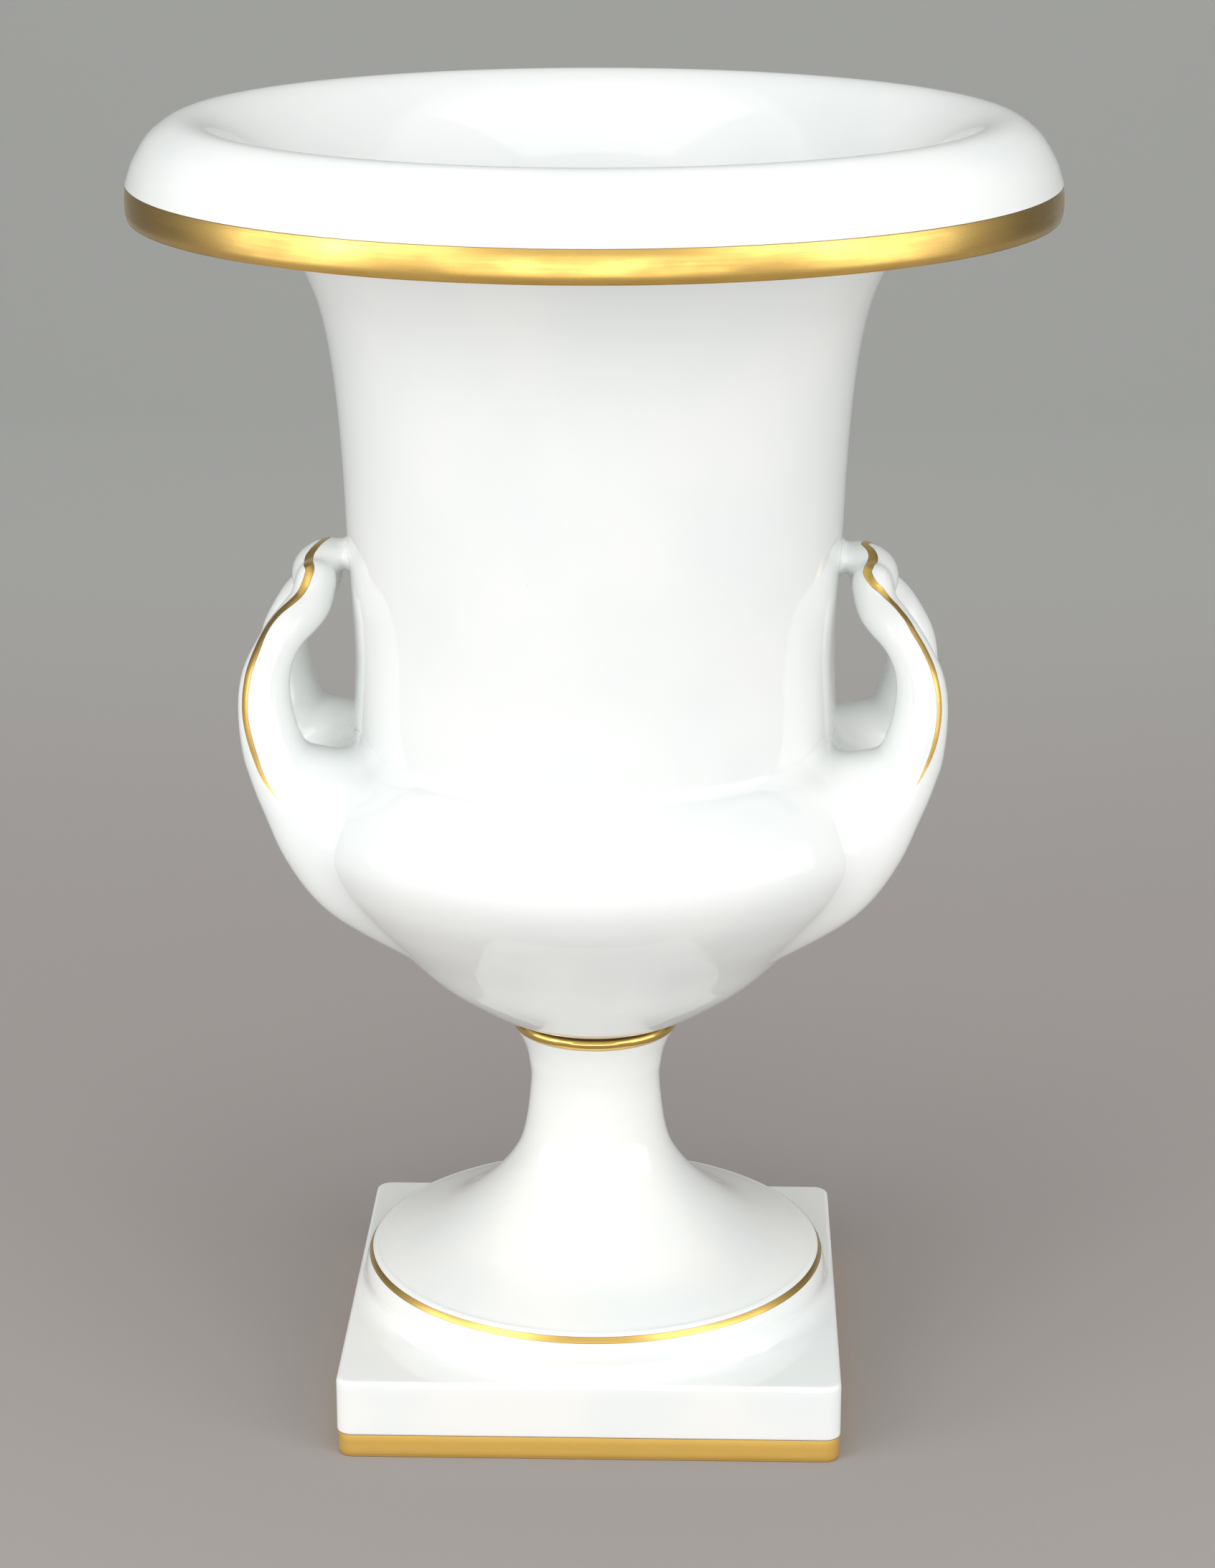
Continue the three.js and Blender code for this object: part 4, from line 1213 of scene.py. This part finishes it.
def make_handle_line(p, handle):
    """One gold line from the tip of one arm, over the top, to the tip of the other. Rows: place out
    from the crease, place aside, place up from the crease, and share of the widest place"""
    half = p.handle_line / 2
    front = [
        (9.7, 2.4, 73.4, 0.72), (11.5, 6, 71.9, 0.85), (12.4, 9.6, 70.1, 0.9), (11.8, 13.4, 68.9, 0.9),
        (10.3, 18.1, 67.9, 0.88), (10, 20.3, 66.3, 0.82), (12, 22.6, 63.4, 0.7), (15.7, 24, 60.3, 0.64),
        (19.2, 26.3, 57.5, 0.62), (23.5, 30.4, 53, 0.64), (26.5, 33.9, 48.3, 0.68), (30.2, 36, 42.5, 0.68),
        (32.8, 37.7, 37.1, 0.67), (34.4, 39.2, 32, 0.65), (35.6, 40.1, 26.3, 0.62), (35.9, 40.9, 20.4, 0.6),
        (35.4, 42.1, 14.6, 0.57), (34.2, 43.4, 8.8, 0.5), (32.5, 44.7, 3.8, 0.4), (30.2, 46.4, -1.2, 0.22),
        (27.9, 48.1, -5, 0.03),
    ]
    back = [
        (11, 2.4, 72.9, 0.72), (13.4, 6.7, 71.2, 0.86), (15, 10.4, 69.2, 0.93), (14.7, 15.6, 68.1, 0.94),
        (13.6, 19.8, 66.6, 0.9), (14.2, 21.7, 64.2, 0.86), (16.1, 24, 60.2, 0.86), (19.7, 27.3, 56.7, 0.92),
        (24.9, 29.8, 52.3, 1), (29.3, 33, 46.1, 1), (31.7, 35.9, 40.7, 1), (33.6, 37.8, 35.6, 0.96),
        (35.2, 39.3, 29.8, 0.9), (36.1, 40.4, 22.6, 0.84), (36, 41.3, 16.9, 0.8), (34.8, 42.9, 10.6, 0.74),
        (32.8, 44.5, 4.1, 0.64), (30.3, 46.4, -2.4, 0.48), (27.3, 48.7, -7.1, 0.28), (24, 51.4, -11.1, 0.03),
    ]

    def placed(row, side):
        out, aside, up, wide = row
        return p.crease_radius + out, side * aside, p.crease + up, half * wide
    run = [placed(row, -1) for row in reversed(front)] + [placed(row, 1) for row in back]
    count = 300
    path = spline(run, count)
    tree = surface_of(handle)
    across = 6
    deselect()
    bpy.ops.mesh.primitive_grid_add(x_subdivisions=count, y_subdivisions=across, size=2)
    piece = named("right_handle_line")
    marks = {}
    for vertex in piece.data.vertices:
        k = round((vertex.co.x + 1) / 2 * count)
        t = vertex.co.y
        here = Vector(path[k][:3])
        along = (Vector(path[min(k + 1, count)][:3]) - Vector(path[max(k - 1, 0)][:3])).normalized()
        spot, normal, _, _ = tree.find_nearest(here * MM)
        sideways = normal.cross(along).normalized()
        wanted = spot + sideways * (path[k][3] * t * MM)
        spot, normal, _, _ = tree.find_nearest(wanted)
        vertex.co = spot - normal * (0.03 * MM)
        marks[vertex.index] = 1 - abs(t)
    attribute = piece.data.attributes.new("across", "FLOAT", "POINT")
    attribute.data.foreach_set("value", [marks[i] for i in range(len(piece.data.vertices))])
    edit(piece)
    bpy.ops.mesh.normals_make_consistent(inside=False)
    bpy.ops.object.mode_set(mode="OBJECT")
    centre = piece.data.polygons[len(piece.data.polygons) // 2]
    toward = tree.find_nearest(centre.center)[1]
    if centre.normal.dot(toward) < 0:
        edit(piece)
        bpy.ops.mesh.flip_normals()
        bpy.ops.object.mode_set(mode="OBJECT")
    apply(piece, "SOLIDIFY", thickness=0.1 * MM, offset=1)
    only(piece)
    bpy.ops.object.shade_smooth_by_angle(angle=math.radians(50))
    return piece


# Fastenings

def make_ring(name, inner, outer, low, high, soft=0.3):
    outline = rounded([(inner, low, soft), (outer, low, soft), (outer, high, soft), (inner, high, soft)], 4)
    return turned(name, outline, SMALL_STEPS)


def make_nut(p, name, low):
    """A chamfered blank cut to six flats"""
    high = low + p.nut_height
    corner = p.nut_flats / math.sqrt(3)
    inner = p.rod_radius + 0.3
    chamfer = (corner - p.nut_flats / 2) + 0.25
    outline = [(inner + 0.6, low), (corner - chamfer, low), (corner + 0.4, low + chamfer * 0.75),
               (corner + 0.4, high - chamfer * 0.75), (corner - chamfer, high), (inner + 0.6, high),
               (inner, high - 0.6), (inner, low + 0.6)]
    blank = turned(name, outline, 72)
    deselect()
    bpy.ops.mesh.primitive_cylinder_add(
        vertices=6, radius=corner * MM, depth=p.nut_height * 2 * MM, location=(0, 0, (low + high) / 2 * MM))
    hexagon = named("hexagon")
    bpy.ops.object.transform_apply(location=True, rotation=True, scale=True)
    apply(blank, "BOOLEAN", operation="INTERSECT", solver="EXACT", object=hexagon)
    remove(hexagon)
    only(blank)
    bpy.ops.object.shade_smooth_by_angle(angle=math.radians(25))
    return blank


def make_rod(p, low, high):
    """A plain shank with a thread cut at each end"""
    r = p.rod_radius
    deep = r - p.thread_pitch * 0.54
    turns = int(p.thread_run / p.thread_pitch)
    side = [(0, low), (deep - 0.3, low)]
    z = low + 0.5
    for k in range(turns):
        side += [(deep, z), (r - 0.04, z + p.thread_pitch * 0.42), (r - 0.04, z + p.thread_pitch * 0.55)]
        z += p.thread_pitch
    side += [(deep, z), (r - 0.25, z + 0.6)]
    mirrored = [(q[0], low + high - q[1]) for q in reversed(side)]
    return turned("tie_rod_threaded", side + mirrored, 48)


# Operators

def poll_sizes(context):
    return Plan(context.scene)


class KRATER_OT_bell(bpy.types.Operator):
    """Turn the flared bell with its rolled lip"""
    bl_idname = "krater.bell"
    bl_label = "Bell"

    def execute(self, context):
        p = poll_sizes(context)
        dress(make_bell(p), porcelain(context.scene), "porcelain", "flared_bell")
        gold = gilding(context.scene, "Rim gold", matt=0.5)
        dress(make_rim_gold(p), gold, "gilding", "rim_gilding")
        return {"FINISHED"}


class KRATER_OT_bowl(bpy.types.Operator):
    """Turn the swelling bowl and the gilded collar under it"""
    bl_idname = "krater.bowl"
    bl_label = "Bowl and collar"

    def execute(self, context):
        p = poll_sizes(context)
        dress(make_bowl(p), porcelain(context.scene), "porcelain", "bowl")
        burnish = context.scene.krater_finishes.burnish
        gold = gilding(context.scene, "Collar gold", burnish, streaks=0.3, clouds=0.5, dust=0.1, edge=0.05)
        dress(make_collar(p), gold, "gilding", "gilt_collar")
        return {"FINISHED"}


class KRATER_OT_foot(bpy.types.Operator):
    """Loft the trumpet foot into its square plinth, and lay its gold line and band"""
    bl_idname = "krater.foot"
    bl_label = "Foot and plinth"

    def execute(self, context):
        p = poll_sizes(context)
        dress(make_foot(p), foot_porcelain(context.scene), "porcelain", "foot_and_plinth")
        line = gilding(context.scene, "Line gold", streaks=0.5, clouds=1.0, dust=0.3, edge=0.16)
        dress(make_foot_line(p), line, "gilding", "foot_line_gilding")
        band = gilding(context.scene, "Plinth gold", 0.55, streaks=0.2, clouds=0.3, dust=0.1, edge=0.03, matt=0.24)
        dress(make_plinth_gold(p), band, "gilding", "plinth_gilding")
        return {"FINISHED"}


class KRATER_OT_handles(bpy.types.Operator):
    """Grow a wishbone handle out of the bowl, draw its gold line and turn a copy to the other side"""
    bl_idname = "krater.handles"
    bl_label = "Handles"

    def execute(self, context):
        p = poll_sizes(context)
        right = make_handle(p)
        line = make_handle_line(p, right)
        left = half_turned(right, "left_handle_glazed")
        left_line = half_turned(line, "left_handle_line")
        glaze = porcelain(context.scene)
        dress(right, glaze, "porcelain", "right_handle")
        dress(left, glaze, "porcelain", "left_handle")
        gold = gilding(context.scene, "Line gold", streaks=0.5, clouds=1.0, dust=0.3, edge=0.16)
        dress(line, gold, "gilding")
        dress(left_line, gold, "gilding")
        return {"FINISHED"}


class KRATER_OT_fastenings(bpy.types.Operator):
    """Make the tie rod, its nuts and washers, the clamping plate and the packings"""
    bl_idname = "krater.fastenings"
    bl_label = "Fastenings"

    def execute(self, context):
        p = poll_sizes(context)
        scene = context.scene
        f = scene.krater_finishes
        brass = metal(scene, "Turned brass", f.brass, 0.3)
        steel = metal(scene, "Plain steel", f.steel, 0.34)
        cork = packed(scene, "Pressed cork", f.cork, 620.0)
        felt = packed(scene, "Dense felt", f.felt, 1500.0)
        top_washer = p.floor_top + p.packing
        top_nut = top_washer + p.washer_thickness
        plate = p.ledge - p.packing - p.plate_thickness
        bottom_washer = plate - p.washer_thickness
        bottom_nut = bottom_washer - p.nut_height
        plate_radius = p.ledge_bore + p.ledge_width
        bore, thick = p.bore, p.washer_thickness
        rod = make_rod(p, bottom_nut - p.rod_proud, top_nut + p.nut_height + p.rod_proud)
        dress(rod, steel, "steel", "tie_rod")
        dress(make_nut(p, "top_nut_brass", top_nut), brass, "brass", "top_nut")
        dress(make_nut(p, "bottom_nut_brass", bottom_nut), brass, "brass", "bottom_nut")
        rows = [
            ("joint_cork_ring", bore, p.collar_bore - p.cork_gap, p.stem_top, p.collar_height, 0.4, cork, "cork",
             "joint_cork"),
            ("top_cushion_cork", bore, p.cushion_radius, p.floor_top, p.packing, 0.7, cork, "cork", "top_cushion"),
            ("top_washer_brass", bore, p.washer_radius, top_washer, thick, 0.35, brass, "brass", "top_washer"),
            ("bottom_washer_brass", bore, p.washer_radius, bottom_washer, thick, 0.35, brass, "brass",
             "bottom_washer"),
            ("bottom_plate_steel", bore, plate_radius, plate, p.plate_thickness, 0.5, steel, "steel",
             "bottom_plate"),
            ("bottom_felt", p.ledge_bore, plate_radius, plate + p.plate_thickness, p.packing, 0.9, felt, "felt",
             "bottom_felt_ring"),
        ]
        for name, inner, outer, low, tall, soft, finish, slot, node in rows:
            dress(make_ring(name, inner, outer, low, low + tall, soft), finish, slot, node)
        return {"FINISHED"}


def backdrop_material(scene):
    """Pale paper: floor colour in front, backdrop colour further back, with painted shade towards both sides far
    back
    """
    stage = scene.krater_stage
    made = bpy.data.materials.new("Pale backdrop")
    made.use_nodes = True
    w = Wiring(made.node_tree)
    place = w.place()
    spot = w.add("ShaderNodeSeparateXYZ", {0: place}).outputs
    climb = w.spread(spot["Y"], 0.3, 1.75, smooth=True)
    aside = w.spread(w.math("ABSOLUTE", spot["X"]), 0.8, 1.4, 0.0, 0.65)
    grain = w.noise(place, 700.0, 2.0)
    paper = w.mix(climb, solid(stage.floor), solid(stage.backdrop))
    # Painted shade: the paper turns darker towards both sides far back
    paper = w.mix(w.math("MULTIPLY", aside, climb), paper, solid(stage.floor, 0.2))
    toned = w.mix(w.spread(grain, 0.3, 0.7, 0.0, 0.06), paper, solid(stage.floor, 0.7))
    shader = made.node_tree.nodes["Principled BSDF"]
    w.feed(shader.inputs["Base Color"], toned)
    shader.inputs["Roughness"].default_value = 0.75
    shader.inputs["Specular IOR Level"].default_value = 0.2
    return made


def add_area(name, place, target, width, height, power):
    bpy.ops.object.light_add(type="AREA", location=place)
    lamp = bpy.context.object
    lamp.name = name
    lamp.data.name = name
    lamp.data.shape = "RECTANGLE"
    lamp.data.size = width
    lamp.data.size_y = height
    lamp.data.energy = power
    lamp.rotation_euler = (Vector(target) - Vector(place)).to_track_quat("-Z", "Y").to_euler()


class KRATER_OT_stage(bpy.types.Operator):
    """Set up the paper sweep, the soft lamps and the camera"""
    bl_idname = "krater.stage"
    bl_label = "Stage"

    def execute(self, context):
        scene = context.scene
        stage = scene.krater_stage
        deselect()
        bpy.ops.mesh.primitive_plane_add(size=7, location=(0, -1.7, 0))
        sweep = named("paper_sweep")
        bpy.ops.object.transform_apply(location=True, rotation=True, scale=True)
        bpy.ops.object.mode_set(mode="EDIT")
        bpy.ops.mesh.select_all(action="DESELECT")
        mesh = bmesh.from_edit_mesh(sweep.data)
        for edge in mesh.edges:
            edge.select = all(v.co.y > 1.7 for v in edge.verts)
        bmesh.update_edit_mesh(sweep.data)
        bpy.ops.mesh.extrude_edges_move(TRANSFORM_OT_translate={"value": (0, 0, 4.5)})
        bpy.ops.mesh.select_all(action="DESELECT")
        mesh = bmesh.from_edit_mesh(sweep.data)
        for edge in mesh.edges:
            edge.select = all(v.co.y > 1.7 and v.co.z < 0.01 for v in edge.verts)
        bmesh.update_edit_mesh(sweep.data)
        bpy.ops.mesh.bevel(offset=0.9, segments=24, affect="EDGES")
        bpy.ops.object.mode_set(mode="OBJECT")
        bpy.ops.object.shade_smooth()
        sweep.data.materials.append(backdrop_material(scene))

        middle = (0, 0, 0.28)
        deselect()
        for side, label in ((-1, "left"), (1, "right")):
            add_area(f"{label}_soft_box", (side * 1.08, -1.04, 0.85), middle, 0.85, 1.1, stage.key_power * (1 - 0.14 * side))
            add_area(f"{label}_low_box", (side * 1.5, -0.55, 0.4), (0, 0, 0.2), 1.1, 0.8, stage.side_power)
        add_area("overhead", (0, -0.1, 2.4), (0, 0, 0), 1.6, 1.6, stage.top_power)
        add_area("low_fill", (0, -2.0, 0.2), (0, 0, 0.25), 2.4, 0.4, stage.fill_power)

        world = bpy.data.worlds.new("Even light")
        scene.world = world
        world.use_nodes = True
        w = Wiring(world.node_tree)
        toward = w.add("ShaderNodeSeparateXYZ", {0: w.add("ShaderNodeTexCoord").outputs["Generated"]}).outputs
        behind = w.math("MULTIPLY", w.spread(toward["Y"], -0.1, 0.4), w.spread(toward["Z"], 0.35, 0.7, 1.0, 0.0))
        background = world.node_tree.nodes["Background"]
        background.inputs["Color"].default_value = (1, 1, 1, 1)
        w.feed(background.inputs["Strength"], w.spread(behind, 0.0, 1.0, stage.sky, stage.sky * 0.3))

        bpy.ops.object.camera_add(location=stage.camera_place)
        camera = bpy.context.object
        camera.name = "front_camera"
        tilt, pan = stage.camera_tilt, stage.camera_pan
        look = Vector((-math.sin(pan) * math.cos(tilt), math.cos(pan) * math.cos(tilt), -math.sin(tilt)))
        camera.rotation_euler = look.to_track_quat("-Z", "Y").to_euler()
        camera.data.lens = stage.lens
        camera.data.sensor_fit = "VERTICAL"
        camera.data.sensor_height = 36
        camera.data.clip_end = 50
        scene.camera = camera
        scene.view_settings.view_transform = "Standard"
        return {"FINISHED"}


OPERATORS = (KRATER_OT_stage, KRATER_OT_bell, KRATER_OT_bowl, KRATER_OT_foot, KRATER_OT_handles,
             KRATER_OT_fastenings)


class KRATER_PT_panel(bpy.types.Panel):
    """Sizes, finishes and steps of the krater"""
    bl_idname = "KRATER_PT_panel"
    bl_label = "Krater"
    bl_space_type = "VIEW_3D"
    bl_region_type = "UI"
    bl_category = "Krater"

    def draw(self, context):
        for operator in OPERATORS:
            self.layout.operator(operator.bl_idname)
        for group in GROUPS:
            box = self.layout.box()
            for name in GROUPS[group].__annotations__:
                box.prop(getattr(context.scene, group), name)


def register():
    for group, kind in GROUPS.items():
        bpy.utils.register_class(kind)
        setattr(bpy.types.Scene, group, bpy.props.PointerProperty(type=kind))
    for kind in OPERATORS + (KRATER_PT_panel,):
        bpy.utils.register_class(kind)


def unregister():
    for kind in OPERATORS + (KRATER_PT_panel,):
        bpy.utils.unregister_class(kind)
    for group, kind in GROUPS.items():
        delattr(bpy.types.Scene, group)
        bpy.utils.unregister_class(kind)


def main():
    register()
    bpy.ops.krater.stage()
    bpy.ops.krater.bell()
    bpy.ops.krater.bowl()
    bpy.ops.krater.foot()
    bpy.ops.krater.handles()
    bpy.ops.krater.fastenings()


if __name__ == "__main__":
    main()
